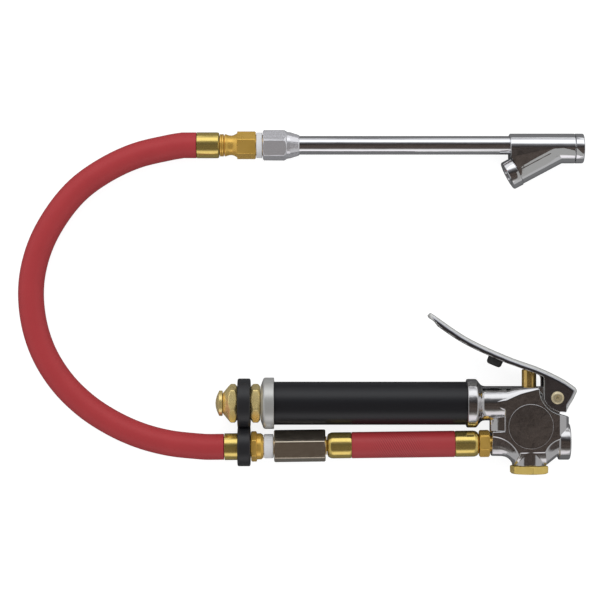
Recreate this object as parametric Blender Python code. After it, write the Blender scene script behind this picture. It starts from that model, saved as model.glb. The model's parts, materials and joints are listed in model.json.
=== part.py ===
"""Inline tire inflator gun with a tubular gauge, a whip hose, a long hose and a dual-foot chuck.

It lies on its side on the plane z = 0, as it is laid down on a bench: the gun's barrel and the
chuck's tube run along X, and the valve stem along Y. All lengths are in metres.
"""

import math

import bmesh
import bpy
from mathutils import Matrix, Vector

# Clearances and facets
GAP = 0.0003  # between two pieces that touch
THREAD_SHOWN = 0.0010  # of a fitting that isn't screwed fully home
LARGE_SIDES = 32  # facets round the barrel
SIDES = 18  # facets round the other turned pieces
SMALL_SIDES = 12  # facets round pins and bores
SHARP_ANGLE = math.radians(35)

# Places of the lines
GUN_Y = -0.0601  # barrel axis
LINE_SPAN = 0.1526  # from the barrel axis to the chuck tube's axis
VALVE_X = 0.0816  # valve stem axis
TABLE_CLEARANCE = 0.00015  # under the chuck's nut

# Gauge barrel
SLEEVE_R = 0.0127
SLEEVE_WALL = 0.0021
SLEEVE_SHOWN = 0.1134  # between the two collars
SLEEVE_SEATED = 0.0042  # inside each collar
COLLAR_R = 0.01515
COLLAR_LENGTH = 0.0079
COLLAR_END_WALL = 0.0029
COLLAR_CHAMFER_LENGTH = 0.0018
COLLAR_CHAMFER_DEPTH = 0.0050
WINDOW_LENGTH = 0.056
WINDOW_WIDTH = 0.0090
LENS_WALL = 0.0015
DRUM_LENGTH = 0.055
DRUM_WALL = 0.0016
PISTON_LENGTH = 0.0030
PISTON_SPIGOT = 0.0050
CUP_LENGTH = 0.0027
CUP_LIP = 0.0008
CUP_REST_GAP = 0.0010  # to the floor of the casting's socket
GAUGE_COIL_R = 0.0046  # middle of the wire
GAUGE_WIRE_R = 0.0006
GAUGE_TURNS = 10

# Stud, nuts and bracket on the barrel's free end
STUD_R = 0.0050
STUD_BORE_R = 0.0026
STUD_FLANGE_LENGTH = 0.0025
BARREL_NUT_FLATS = 0.0204
BARREL_NUT_TURN = math.radians(15.6)
INNER_NUT_LENGTH = 0.0054
INNER_NUT_CHAMFER = 0.0014
OUTER_NUT_LENGTH = 0.0083
OUTER_NUT_CONE = 0.0047
OUTER_NUT_NOSE_R = 0.0065
BRACKET_THICKNESS = 0.0076
BRACKET_R = 0.0146  # round the stud
BRACKET_EYE_R = 0.0116  # outside of the hose's eye
BRACKET_EDGE = 0.0009
BRACKET_EYE_CLEARANCE = 0.0004
END_PLUG_R = 0.0075
END_PLUG_RIM = 0.0021
END_PLUG_DOME = 0.0021
END_PLUG_SPIGOT = 0.0090

# Valve casting, from the valve axis along X and from the barrel axis along Y
CASTING_HALF = 0.0102  # to its flat faces
CASTING_COLLAR_R = 0.01435
CASTING_COLLAR_BACK = 0.0370  # end of the collar
CASTING_COLLAR_LENGTH = 0.0058
CASTING_CONE_LENGTH = 0.0031
CASTING_EDGE = 0.0008
NECK_R = 0.01015
NECK_END = 0.0047
NECK_NOSE = 0.0022
FACE_TOP = ((-0.0138, 0.0026), (-0.0057, 0.0060), (0.0044, 0.0086))
SHOULDER_R = (0.01015, 0.0054, 0.0022)  # of the rounded shoulder behind each point of the face's top
TONGUE = (-0.0200, 0.0011)  # end and half width of the face's run onto the neck
FACE_RIGHT = 0.0171
FACE_RIGHT_TOP = -0.0063
FACE_RIGHT_BOTTOM = -0.0200
RIGHT_WALL = 0.0231
RIGHT_WALL_TOP = -0.0078
FACE_LEFT = -0.0147
FACE_LEFT_TOP = -0.0031
OUTLET_FACE = -0.0224
OUTLET_OFF = -0.0237  # outlet axis below the barrel axis
STRIP_TOP = -0.0163
OUTLET_BOTTOM = -0.0309
LEFT_COVE = (-0.0230, -0.0362, 0.0173, 90.0, 18.0)  # centre, radius, from and to in degrees
LEFT_COVE_SIDE = (-0.0170, -0.0390, 0.0080, 92.0, 24.0)
RIGHT_COVE = (0.0203, -0.0326, 0.0126, 159.0, 106.0)
COVE_STEPS = 4
FACE_BOTTOM = -0.0285
VALVE_BOSS_R = 0.0100
VALVE_BOSS_END = -0.0365
WEB_HALF = 0.0065
WEB_LEFT = -0.0231
WEB_TOP = -0.0078
WEB_BOTTOM = -0.0169
WEB_ROUND = 0.0022
DISC_R = 0.01315
DISC_X = 0.0001
DISC_Y = -0.0132
DISC_HEIGHT = 0.0005
INLET_OFF = -0.0225
INLET_FLANGE_R = 0.0108
INLET_FLANGE_START = 0.0171
INLET_FACE = 0.0238
INLET_EDGE = 0.0008
INLET_BORE_R = 0.0062
INLET_BORE_DEPTH = 0.0105
INLET_PORT_R = 0.0024
OUTLET_BORE_DEPTH = 0.0090
OUTLET_PORT_R = 0.0019
GAUGE_PORT_R = 0.0020
LOFT_LEVELS = (1.0, 0.9, 0.66, 0.0)  # heights of the loft's layers, as shares of the half

# Valve parts, along Y from the barrel axis
SEAT_FACE = -0.0205
SEAT_THICKNESS = 0.0021
SEAT_R = 0.0042
UPPER_CHAMBER_R = 0.0052
UPPER_CHAMBER_TOP = 0.0020
LOWER_CHAMBER_R = 0.0070
STEM_R = 0.0043
STEM_DOME = 0.0008
STEM_ROD_R = 0.0020
STEM_REST_GAP = 0.00035  # under the lever
RING_GROOVE_TOP = 0.0097
RING_GROOVE_LENGTH = 0.0018
RING_WIRE_R = 0.0005
SEAL_R = 0.0056
SEAL_THICKNESS = 0.0015
POPPET_R = 0.0058
POPPET_LENGTH = 0.0029
POPPET_PILOT_R = 0.0032
POPPET_PILOT = 0.0016
STEM_TAIL_R = 0.0015
VALVE_COIL_R = 0.0044
VALVE_WIRE_R = 0.00045
VALVE_TURNS = 5
VALVE_CAP_FLATS = 0.0205
VALVE_CAP_TURN = math.radians(7.2)
VALVE_CAP_LENGTH = 0.0046
VALVE_CAP_PLUG = 0.0042
VALVE_CAP_POCKET_R = 0.0054
VALVE_CAP_POCKET_FLOOR = -0.0375
VALVE_CAP_CHAMFER = 0.0006

# Lever, from its pivot
PIVOT_X = 0.0155  # from the valve axis
PIVOT_Y = 0.0037  # from the barrel axis
LEVER_TOP = (
    (-0.0736, 0.0496),
    (-0.0525, 0.0353),
    (-0.0297, 0.0246),
    (-0.0105, 0.0176),
    (0.0031, 0.01115),
    (0.0112, 0.0057),
)
LEVER_REAR = ((0.0119, 0.0037), (0.00985, -0.0007), (0.0071, -0.0051), (0.0051, -0.0085))
LEVER_TIP_DROP = (-0.0018, -0.0018)
LEVER_DEPTH = 0.0039
LEVER_PLATE = 0.0018
LEVER_WALL = 0.0018
LEVER_FLANGE_START = 0.0040  # behind the tip, along X
LEVER_HALF = 0.0105
LEVER_TIP_HALF = 0.0086
LEVER_TAPER_START = -0.0200
LEVER_TIP_ROUND = 0.0060
EAR_ROUND = (0.0049, 0.0052, 0.0140, -107.0, -153.0)  # its lower edge: centre, radius, from and to
EAR_LEFT = -0.0076
EAR_CLEARANCE = 0.0013
LUG_HALF = 0.0058
LUG_R = 0.0065
SCREW_R = 0.0022
SCREW_HEAD_R = 0.0038
SCREW_HEAD_HEIGHT = 0.0016
BUMPER_ALONG = -0.0335  # where it meets the lever, along X from the pivot
BUMPER_R = 0.00465
BUMPER_REACH = 0.0082
BUMPER_EDGE = 0.0009
CURVE_STEPS = 4

# Lower line: lengths along its own axis, from the casting's outlet to the left
LINE_TILT = math.radians(0.72)
NIPPLE_FLATS = 0.0142
NIPPLE_HEX = 0.0060
NIPPLE_TURN = math.radians(-9)
NIPPLE_THREAD_R = 0.0046
WHIP_FERRULE_R = 0.0077
REAR_FERRULE_LENGTH = 0.0141
FRONT_FERRULE_LENGTH = 0.0143
FERRULE_WALL = 0.0008
FERRULE_ROUND = 0.0026
WHIP_SHORTER = 0.0524  # than the sleeve between its collars
WHIP_R = 0.00775
WHIP_BORE_R = 0.0040
BARB_R = 0.0034
BARB_LENGTH = 0.0115
COUPLING_FLATS = 0.0174
COUPLING_LENGTH = 0.0303
COUPLING_TURN = math.radians(13)
COUPLING_EDGE = 0.0005
COUPLING_THREAD_R = 0.0054
COUPLING_THREAD_DEPTH = 0.0110
COUPLING_PORT_R = 0.0030
GUN_TAPE_LENGTH = 0.0057
GUN_TAPE_R = 0.00735
HOSE_NIPPLE_FLATS = 0.0160
HOSE_NIPPLE_HEX = 0.0034
HOSE_NIPPLE_CONE = 0.0038
HOSE_NIPPLE_TURN = math.radians(4)
HOSE_NIPPLE_CONE_R = 0.0077
HOSE_FERRULE_R = 0.0079
HOSE_FERRULE_LENGTH = 0.0154
FERRULE_BORE_R = 0.0046

# Long hose: its centre line between the two ferrules
HOSE_R = 0.00765
HOSE_ROUTE = (
    (-0.1125, -0.0856, 0.0150),
    (-0.1305, -0.0837, 0.0140),
    (-0.1481, -0.0792, 0.0125),
    (-0.1651, -0.0717, 0.0108),
    (-0.1813, -0.0611, 0.0094),
    (-0.1954, -0.0470, 0.0084),
    (-0.2061, -0.0295, 0.0079),
    (-0.2120, -0.0096, 0.0078),
    (-0.2129, 0.0114, 0.0078),
    (-0.2081, 0.0319, 0.0078),
    (-0.1984, 0.0504, 0.0079),
    (-0.1852, 0.0663, 0.0081),
    (-0.1686, 0.0781, 0.0085),
    (-0.1506, 0.0864, 0.0090),
    (-0.1317, 0.0910, 0.0094),
)
HOSE_DRAWN_FROM = (-0.09838, -0.08578, 0.01515)  # the ends that the route is drawn for
HOSE_DRAWN_TO = (-0.1149, 0.0925, 0.0095)
HOSE_STRAIGHT = 0.0080  # out of each ferrule
HOSE_POINT_EVERY = 2.0  # diameters

# Chuck line: lengths along X from the swivel's ferrule to the right
CHUCK_FERRULE_LEFT = -0.1146
CHUCK_FERRULE_LENGTH = 0.0133
CHUCK_FERRULE_R = 0.00768
SWIVEL_RING_LENGTH = 0.0024
SWIVEL_RING_R = 0.00665
SWIVEL_SPIGOT_R = 0.0042
SWIVEL_SPIGOT = 0.0105
BELL_LENGTH = 0.0077
BELL_MOUTH_R = 0.0066
BELL_NECK_R = 0.0058
SWIVEL_FLATS = 0.0145
SWIVEL_HEX = 0.0109
SWIVEL_TURN = math.radians(10)
SWIVEL_THREAD_R = 0.0062
SWIVEL_THREAD = 0.0120
SWIVEL_PORT_R = 0.0026
CHUCK_TAPE_LENGTH = 0.0036
CHUCK_TAPE_R = 0.00775
CHUCK_NUT_FLATS = 0.0162
CHUCK_NUT_TURN = math.radians(16)
CHUCK_NUT_HEX = 0.0136
CHUCK_NUT_CONE = 0.0080
CHUCK_NUT_CHAMFER = 0.0007
TUBE_R = 0.0055
TUBE_WALL = 0.0016
TUBE_SHOWN = 0.1244  # from the nut's cone to the head
TUBE_SEATED = 0.0080

# Chuck head
HEAD_OFF = -0.0019  # of its axis from the tube's
HEAD_LENGTH = 0.0386
HEAD_R = 0.0088
FOOT_ANGLE = math.radians(208)
FOOT_MEETS = 0.0299  # from the head's left end
FOOT_R = 0.0083
FOOT_LENGTH = 0.0287
WEB_FILL_HALF = 0.0079
NOSE_LENGTH = 0.0054
REVERSE_CAP_R = 0.00875
REVERSE_CAP_LENGTH = 0.0064
NOSE_MOUTH_R = 0.0042
NOSE_MOUTH_DEPTH = 0.0043
NOSE_EDGE = 0.0008
NOSE_SPIGOT = 0.0045
NOSE_SPIGOT_R = 0.0070
NOSE_INNER_R = 0.0062
WASHER_THICKNESS = 0.0022
WASHER_HOLE_R = 0.0024
PIN_TIP_R = 0.0013
PIN_TIP_PROUD = 0.0002
PIN_FLANGE_R = 0.0054
PIN_FLANGE = 0.0015
PIN_GUIDE_R = 0.0024
PIN_GUIDE = 0.0048
PIN_TRAVEL = 0.0020
FOOT_COIL_R = 0.0041
FOOT_WIRE_R = 0.0004
FOOT_TURNS = 3
HEAD_PORT_R = 0.0021

# What follows from the sizes above
CHUCK_Y = GUN_Y + LINE_SPAN
WHIP_SHOWN = SLEEVE_SHOWN - WHIP_SHORTER
GUN_Z = COLLAR_R
CHUCK_Z = CHUCK_NUT_FLATS / 2 / math.cos(math.pi / 6) + TABLE_CLEARANCE
GUN_AXIS = Vector((0, GUN_Y, GUN_Z))
VALVE_AXIS = Vector((VALVE_X, GUN_Y, GUN_Z))
PIVOT = VALVE_AXIS + Vector((PIVOT_X, PIVOT_Y, 0))
SLEEVE_RIGHT = VALVE_X - CASTING_COLLAR_BACK
SLEEVE_LEFT = SLEEVE_RIGHT - SLEEVE_SHOWN
SLEEVE_BORE_R = SLEEVE_R - SLEEVE_WALL
LENS_R = SLEEVE_BORE_R - GAP
LENS_BORE_R = LENS_R - LENS_WALL
DRUM_R = LENS_BORE_R - GAP
SOCKET_FLOOR = SLEEVE_RIGHT + SLEEVE_SEATED + GAP
COLLAR_LEFT = SLEEVE_LEFT - COLLAR_LENGTH
COLLAR_FLOOR = COLLAR_LEFT + COLLAR_END_WALL
OUTLET = VALVE_AXIS + Vector((OUTLET_FACE, OUTLET_OFF, 0))
INNER_NUT_RIGHT = COLLAR_LEFT - GAP
BRACKET_RIGHT = INNER_NUT_RIGHT - INNER_NUT_LENGTH - GAP
BRACKET_LEFT = BRACKET_RIGHT - BRACKET_THICKNESS
OUTER_NUT_RIGHT = BRACKET_LEFT - GAP
OUTER_NUT_LEFT = OUTER_NUT_RIGHT - OUTER_NUT_LENGTH
STUD_LEFT = OUTER_NUT_LEFT + GAP
PISTON_RIGHT = SOCKET_FLOOR - CUP_REST_GAP - CUP_LENGTH - GAP
PISTON_LEFT = PISTON_RIGHT - PISTON_LENGTH
DRUM_RIGHT = PISTON_LEFT - GAP

# Materials: colour, metallic, roughness
FINISHES = {
    "cast_chrome": ((0.56, 0.55, 0.54), 1.0, 0.12),
    "chrome": ((0.62, 0.62, 0.63), 1.0, 0.08),
    "aluminium": ((0.60, 0.60, 0.60), 1.0, 0.35),
    "anodised_black": ((0.018, 0.018, 0.022), 0.3, 0.40),
    "black_plastic": ((0.012, 0.012, 0.014), 0.0, 0.45),
    "black_rubber": ((0.015, 0.015, 0.015), 0.0, 0.70),
    "brass": ((0.62, 0.44, 0.14), 1.0, 0.22),
    "dark_nickel": ((0.17, 0.14, 0.11), 1.0, 0.30),
    "red_rubber": ((0.38, 0.03, 0.035), 0.0, 0.45),
    "tape": ((0.72, 0.73, 0.75), 0.0, 0.60),
    "clear": ((0.80, 0.85, 0.88), 0.0, 0.05),
    "drum_white": ((0.80, 0.80, 0.77), 0.0, 0.40),
    "spring_steel": ((0.45, 0.45, 0.46), 1.0, 0.25),
}


# Tools


def clear_scene():
    for obj in list(bpy.data.objects):
        bpy.data.objects.remove(obj)


def finish_material(finish):
    """The Principled material of a finish, made once."""
    found = bpy.data.materials.get(finish)
    if found:
        return found
    colour, metallic, roughness = FINISHES[finish]
    made = bpy.data.materials.new(finish)
    made.use_nodes = True
    shader = made.node_tree.nodes["Principled BSDF"]
    shader.inputs["Base Color"].default_value = (*colour, 1)
    shader.inputs["Metallic"].default_value = metallic
    shader.inputs["Roughness"].default_value = roughness
    if finish == "clear":
        shader.inputs["Transmission Weight"].default_value = 1.0
    return made


def place(obj, finish, location, parent, turn):
    """Links an object, gives it its own copy of the finish, and puts it on its axis."""
    bpy.context.scene.collection.objects.link(obj)
    if finish:
        own = finish_material(finish).copy()
        own.name = obj.name + "_" + finish
        obj.data.materials.append(own)
    obj.parent = parent
    obj.location = location
    obj.rotation_euler = turn
    return obj


def add_solid(name, bm, finish, location=(0, 0, 0), parent=None, turn=(0, 0, 0)):
    bmesh.ops.recalc_face_normals(bm, faces=bm.faces)
    mesh = bpy.data.meshes.new(name)
    bm.to_mesh(mesh)
    bm.free()
    obj = place(bpy.data.objects.new(name, mesh), finish, location, parent, turn)
    smooth(obj)
    return obj


def smooth(obj):
    obj.data.shade_smooth()
    obj.data.set_sharp_from_angle(angle=SHARP_ANGLE)


def empty(name, location, parent=None, turn=(0, 0, 0)):
    return place(bpy.data.objects.new(name, None), None, location, parent, turn)


def turned(profile, sides, closed, turn=0.0):
    """A solid turned round X from points (along, radius). A closed profile makes a ring."""
    bm = bmesh.new()
    rings = []
    for along, radius in profile:
        count = sides if radius > 0 else 1
        angles = [turn + 2 * math.pi * i / sides for i in range(count)]
        rings.append(
            [bm.verts.new((along, radius * math.cos(a), radius * math.sin(a))) for a in angles]
        )
    pairs = list(zip(rings, rings[1:]))
    if closed:
        pairs.append((rings[-1], rings[0]))
    for first, second in pairs:
        for i in range(sides):
            j = (i + 1) % sides
            corners = (
                first[i % len(first)],
                first[j % len(first)],
                second[j % len(second)],
                second[i % len(second)],
            )
            corners = list(dict.fromkeys(corners))
            if len(corners) > 2:
                bm.faces.new(corners)
    return bm


def bored(outside, inside):
    """A closed profile from an outside and an inside, both listed along the axis."""
    return list(outside) + list(reversed(inside))


def rotated(bm, axis, angle):
    bmesh.ops.rotate(bm, verts=bm.verts, matrix=Matrix.Rotation(angle, 3, axis))
    return bm


def moved(bm, offset):
    bmesh.ops.translate(bm, verts=bm.verts, vec=offset)
    return bm


def rod(start, end, radius, sides=SMALL_SIDES):
    """A cylinder between two points, for bores and passages."""
    start, end = Vector(start), Vector(end)
    length = (end - start).length
    bm = turned([(0, 0), (0, radius), (length, radius), (length, 0)], sides, False)
    facing = Vector((1, 0, 0)).rotation_difference(end - start).to_matrix()
    bmesh.ops.rotate(bm, verts=bm.verts, matrix=facing)
    return moved(bm, start)


def prism(outline, low, high):
    """A closed outline in X and Y, extruded from z = low to z = high."""
    bm = bmesh.new()
    bottom = [bm.verts.new((x, y, low)) for x, y in outline]
    top = [bm.verts.new((x, y, high)) for x, y in outline]
    bm.faces.new(reversed(bottom))
    bm.faces.new(top)
    for i in range(len(outline)):
        j = (i + 1) % len(outline)
        bm.faces.new((bottom[i], bottom[j], top[j], top[i]))
    return bm


def combine(target, bm, operation, solver="EXACT"):
    """Applies a Boolean with a helper solid, given in the target's own frame, and drops the helper."""
    tool = add_solid("helper", bm, None)
    bpy.context.view_layer.update()
    tool.matrix_world = target.matrix_world.copy()
    modifier = target.modifiers.new("combine", "BOOLEAN")
    modifier.operation = operation
    modifier.solver = solver
    modifier.object = tool
    bpy.context.view_layer.update()
    graph = bpy.context.evaluated_depsgraph_get()
    result = bpy.data.meshes.new_from_object(target.evaluated_get(graph))
    target.modifiers.clear()
    old = target.data
    name = old.name
    target.data = result
    bpy.data.meshes.remove(old)
    result.name = name
    bpy.data.objects.remove(tool)
    smooth(target)
    return target


def cut(target, *tools, solver="EXACT"):
    for bm in tools:
        combine(target, bm, "DIFFERENCE", solver)


def add(target, *tools):
    for bm in tools:
        combine(target, bm, "UNION")


def turned_piece(name, profile, finish, closed=True, sides=SIDES, **where):
    return add_solid(name, turned(profile, sides, closed), finish, **where)


def hex_piece(name, profile, flats, turn, finish, sides=SIDES, **where):
    """A turned and bored profile cut to a hexagon bar, so that chamfers make scalloped flats."""
    obj = turned_piece(name, profile, finish, sides=sides, **where)
    low = min(along for along, _ in profile) - GAP
    high = max(along for along, _ in profile) + GAP
    corner = flats / 2 / math.cos(math.pi / 6)
    bar = turned([(low, 0), (low, corner), (high, corner), (high, 0)], 6, False, turn)
    return combine(obj, bar, "INTERSECT")


def hex_corner(flats):
    """A radius just outside a hexagon's corners."""
    return flats / 2 / math.cos(math.pi / 6) * 1.01


def arc(centre_x, centre_y, radius, start, end, steps):
    """Points on an arc, its angles in degrees."""
    angles = [math.radians(start + (end - start) * i / steps) for i in range(steps + 1)]
    return [(centre_x + radius * math.cos(a), centre_y + radius * math.sin(a)) for a in angles]


def smooth_curve(points, steps):
    """Catmull-Rom through all points, with the end points repeated by reflection."""
    points = [Vector(p) for p in points]
    points = [2 * points[0] - points[1]] + points + [2 * points[-1] - points[-2]]
    curve = []
    for a, b, c, d in zip(points, points[1:], points[2:], points[3:]):
        for i in range(steps):
            t = i / steps
            curve.append(
                (2 * b + (c - a) * t + (2 * a - 5 * b + 4 * c - d) * t**2
                 + (3 * b - a - 3 * c + d) * t**3) / 2
            )
    curve.append(points[-2])
    return curve


def offset_curve(points, distance):
    """The points of a plane curve moved to its right-hand side."""
    result = []
    for i, point in enumerate(points):
        tangent = points[min(i + 1, len(points) - 1)] - points[max(i - 1, 0)]
        tangent = Vector(tangent[:2]).normalized()
        result.append(Vector((point[0] + tangent.y * distance, point[1] - tangent.x * distance)))
    return result


def tube_curve(name, points, radius, resolution, finish, **where):
    """A round tube with filled ends along a list of points."""
    curve = bpy.data.curves.new(name, "CURVE")
    curve.dimensions = "3D"
    curve.bevel_depth = radius
    curve.bevel_resolution = resolution
    curve.use_fill_caps = True
    spline = curve.splines.new("POLY")
    spline.points.add(len(points) - 1)
    for spot, point in zip(spline.points, points):
        spot.co = (*point, 1)
    where = {"location": (0, 0, 0), "parent": None, "turn": (0, 0, 0), **where}
    return place(bpy.data.objects.new(name, curve), finish, **where)


def coil(name, start, end, radius, wire_r, turns, **where):
    """A spring along X between two seats, as one unbroken tube."""
    per_turn = 8
    count = per_turn * turns + 1
    first, last = start + wire_r + GAP, end - wire_r - GAP
    points = []
    for i in range(count):
        angle = 2 * math.pi * i / per_turn
        along = first + (last - first) * i / (count - 1)
        points.append((along, radius * math.cos(angle), radius * math.sin(angle)))
    least = abs(last - first) / turns - 2 * wire_r
    print(f"{name}: least gap between its turns {least * 1000:.2f} mm")
    return tube_curve(name, points, wire_r, 0, "spring_steel", **where)


# Valve casting


def casting_pairs():
    """Pairs of points round the casting: on its flat face, and on its rounded side at mid height."""
    tongue, narrow = TONGUE
    pairs = [((tongue, -narrow), (tongue, -narrow)), ((tongue, narrow), (tongue, narrow))]
    for x, y in FACE_TOP:
        pairs.append(((x, y), (x, NECK_R - GAP)))
    centre_x, centre_y, reach = PIVOT_X + EAR_ROUND[0], PIVOT_Y + EAR_ROUND[1], EAR_ROUND[2] + EAR_CLEARANCE
    for point in arc(centre_x, centre_y, reach, 181, 250, COVE_STEPS):
        pairs.append((point, point))
    pairs.append(((FACE_RIGHT, FACE_RIGHT_TOP), (RIGHT_WALL, RIGHT_WALL_TOP)))
    pairs.append(((FACE_RIGHT, FACE_RIGHT_BOTTOM), (RIGHT_WALL, FACE_RIGHT_BOTTOM)))
    right = arc(*RIGHT_COVE[:3], RIGHT_COVE[4], RIGHT_COVE[3], COVE_STEPS)
    wall = (VALVE_BOSS_R, VALVE_BOSS_END + GAP)
    start = (FACE_RIGHT, INLET_OFF - INLET_FLANGE_R * 0.75)
    for i, point in enumerate(right[1:]):
        t = (i + 1) / COVE_STEPS
        side = (start[0] + (wall[0] - start[0]) * t, start[1] + (wall[1] - start[1]) * t)
        pairs.append((point, side))
    left = arc(*reversed_arc(LEFT_COVE), COVE_STEPS)
    side = arc(*reversed_arc(LEFT_COVE_SIDE), COVE_STEPS)
    pairs.append(((left[0][0] + GAP, FACE_BOTTOM), (-VALVE_BOSS_R + GAP, VALVE_BOSS_END + GAP)))
    pairs.extend(zip(left[:-1], side[:-1]))
    pairs.append(((OUTLET_FACE, left[-1][1]), (OUTLET_FACE, OUTLET_BOTTOM)))
    pairs.append(((OUTLET_FACE, STRIP_TOP), (OUTLET_FACE, STRIP_TOP)))
    pairs.append(((FACE_LEFT, STRIP_TOP), (FACE_LEFT, STRIP_TOP)))
    pairs.append(((FACE_LEFT, FACE_LEFT_TOP), (FACE_LEFT, FACE_LEFT_TOP)))
    return pairs


def reversed_arc(values):
    centre_x, centre_y, radius, start, end = values
    return centre_x, centre_y, radius, end, start


def shoulder(level, start, end, radius):
    """How far a rounded shoulder has swollen at a level, from the face's edge to the neck's side."""
    rise = max(CASTING_HALF * level - (CASTING_HALF - radius), 0)
    width = NECK_R - radius + math.sqrt(max(radius**2 - rise**2, 0))
    return min(max((width - start) / (end - start), 0), 1)


def lofted_casting():
    """The casting's main body: layers that swell from the flat faces to the rounded sides."""
    pairs = casting_pairs()
    radii = dict(zip(FACE_TOP, SHOULDER_R))
    levels = LOFT_LEVELS + tuple(-level for level in reversed(LOFT_LEVELS[:-1]))
    bm = bmesh.new()
    layers = []
    for level in levels:
        layer = []
        for (face_x, face_y), (side_x, side_y) in pairs:
            radius = radii.get((face_x, face_y))
            swell = shoulder(abs(level), face_y, side_y, radius) if radius else 1 - level**2
            x = face_x + (side_x - face_x) * swell
            y = face_y + (side_y - face_y) * swell
            layer.append(bm.verts.new((x, y, CASTING_HALF * level)))
        layers.append(layer)
    bm.faces.new(layers[0])
    bm.faces.new(reversed(layers[-1]))
    for upper, lower in zip(layers, layers[1:]):
        for i in range(len(upper)):
            j = (i + 1) % len(upper)
            bm.faces.new((upper[i], upper[j], lower[j], lower[i]))
    bmesh.ops.remove_doubles(bm, verts=bm.verts, dist=1e-6)
    bmesh.ops.triangulate(bm, faces=[face for face in bm.faces if len(face.verts) == 4])
    return bm


def neck_and_collar():
    left = -CASTING_COLLAR_BACK
    right = left + CASTING_COLLAR_LENGTH
    cone = right + CASTING_CONE_LENGTH
    return turned(
        [
            (left, 0),
            (left, CASTING_COLLAR_R - CASTING_EDGE),
            (left + CASTING_EDGE, CASTING_COLLAR_R),
            (right - CASTING_EDGE, CASTING_COLLAR_R),
            (right, CASTING_COLLAR_R - CASTING_EDGE),
            (cone, NECK_R),
            (NECK_END, NECK_R),
            (NECK_END + NECK_NOSE, NECK_R - NECK_NOSE),
            (NECK_END + NECK_NOSE, 0),
        ],
        LARGE_SIDES,
        False,
    )


def web_block():
    """The rounded rib between the neck and the outlet boss."""
    bm = prism(
        [(WEB_LEFT, WEB_BOTTOM), (FACE_LEFT - WEB_LEFT * 0.1, WEB_BOTTOM),
         (FACE_LEFT - WEB_LEFT * 0.1, WEB_TOP), (WEB_LEFT, WEB_TOP)],
        -WEB_HALF,
        WEB_HALF,
    )
    edges = [e for e in bm.edges if abs(e.verts[0].co.z - e.verts[1].co.z) < GAP
             and abs(e.verts[0].co.x - e.verts[1].co.x) < GAP and e.verts[0].co.x < FACE_LEFT]
    bmesh.ops.bevel(bm, geom=edges, offset=WEB_ROUND, segments=2, profile=0.5, affect="EDGES")
    return bm


def pivot_lug():
    """The lug that carries the lever's screw, a round end on a root inside the casting."""
    round_end = arc(PIVOT_X, PIVOT_Y, LUG_R, 105, -72, 9)
    root = round_end[-1][0]
    low = FACE_RIGHT_TOP - LUG_R
    outline = round_end + [(root, low), (0, low), (0, round_end[0][1] - GAP)]
    return prism(list(reversed(outline)), -LUG_HALF, LUG_HALF)


def inlet_flange():
    bm = turned(
        [
            (INLET_FLANGE_START - INLET_BORE_DEPTH / 2, 0),
            (INLET_FLANGE_START - INLET_BORE_DEPTH / 2, INLET_FLANGE_R * 0.7),
            (INLET_FLANGE_START, INLET_FLANGE_R * 0.75),
            (INLET_FLANGE_START, INLET_FLANGE_R - INLET_EDGE),
            (INLET_FLANGE_START + INLET_EDGE, INLET_FLANGE_R),
            (INLET_FACE - INLET_EDGE, INLET_FLANGE_R),
            (INLET_FACE, INLET_FLANGE_R - INLET_EDGE),
            (INLET_FACE, 0),
        ],
        SIDES,
        False,
    )
    return moved(bm, (0, INLET_OFF, 0))


def valve_boss():
    return rod((0, OUTLET_OFF, 0), (0, VALVE_BOSS_END, 0), VALVE_BOSS_R, SIDES)


def face_disc():
    """The plain round disc on both faces, as one solid through the casting."""
    top = CASTING_HALF + DISC_HEIGHT
    bm = turned(
        [(-top, 0), (-top, DISC_R - DISC_HEIGHT), (-top + DISC_HEIGHT * 1.4, DISC_R),
         (top - DISC_HEIGHT * 1.4, DISC_R), (top, DISC_R - DISC_HEIGHT), (top, 0)],
        LARGE_SIDES,
        False,
    )
    rotated(bm, "Y", math.pi / 2)
    return moved(bm, (DISC_X, DISC_Y, 0))


def valve_bores():
    """The stepped bore of the valve, along Y."""
    chamber_low = VALVE_BOSS_END - GAP
    seat_top = SEAT_FACE + SEAT_THICKNESS
    profile = [
        (chamber_low, 0),
        (chamber_low, LOWER_CHAMBER_R),
        (SEAT_FACE, LOWER_CHAMBER_R),
        (SEAT_FACE, SEAT_R),
        (seat_top, SEAT_R),
        (seat_top, UPPER_CHAMBER_R),
        (UPPER_CHAMBER_TOP, UPPER_CHAMBER_R),
        (UPPER_CHAMBER_TOP, STEM_R + GAP),
        (NECK_R + GAP, STEM_R + GAP),
        (NECK_R + GAP, 0),
    ]
    return rotated(turned(profile, SMALL_SIDES, False), "Z", math.pi / 2)


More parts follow.
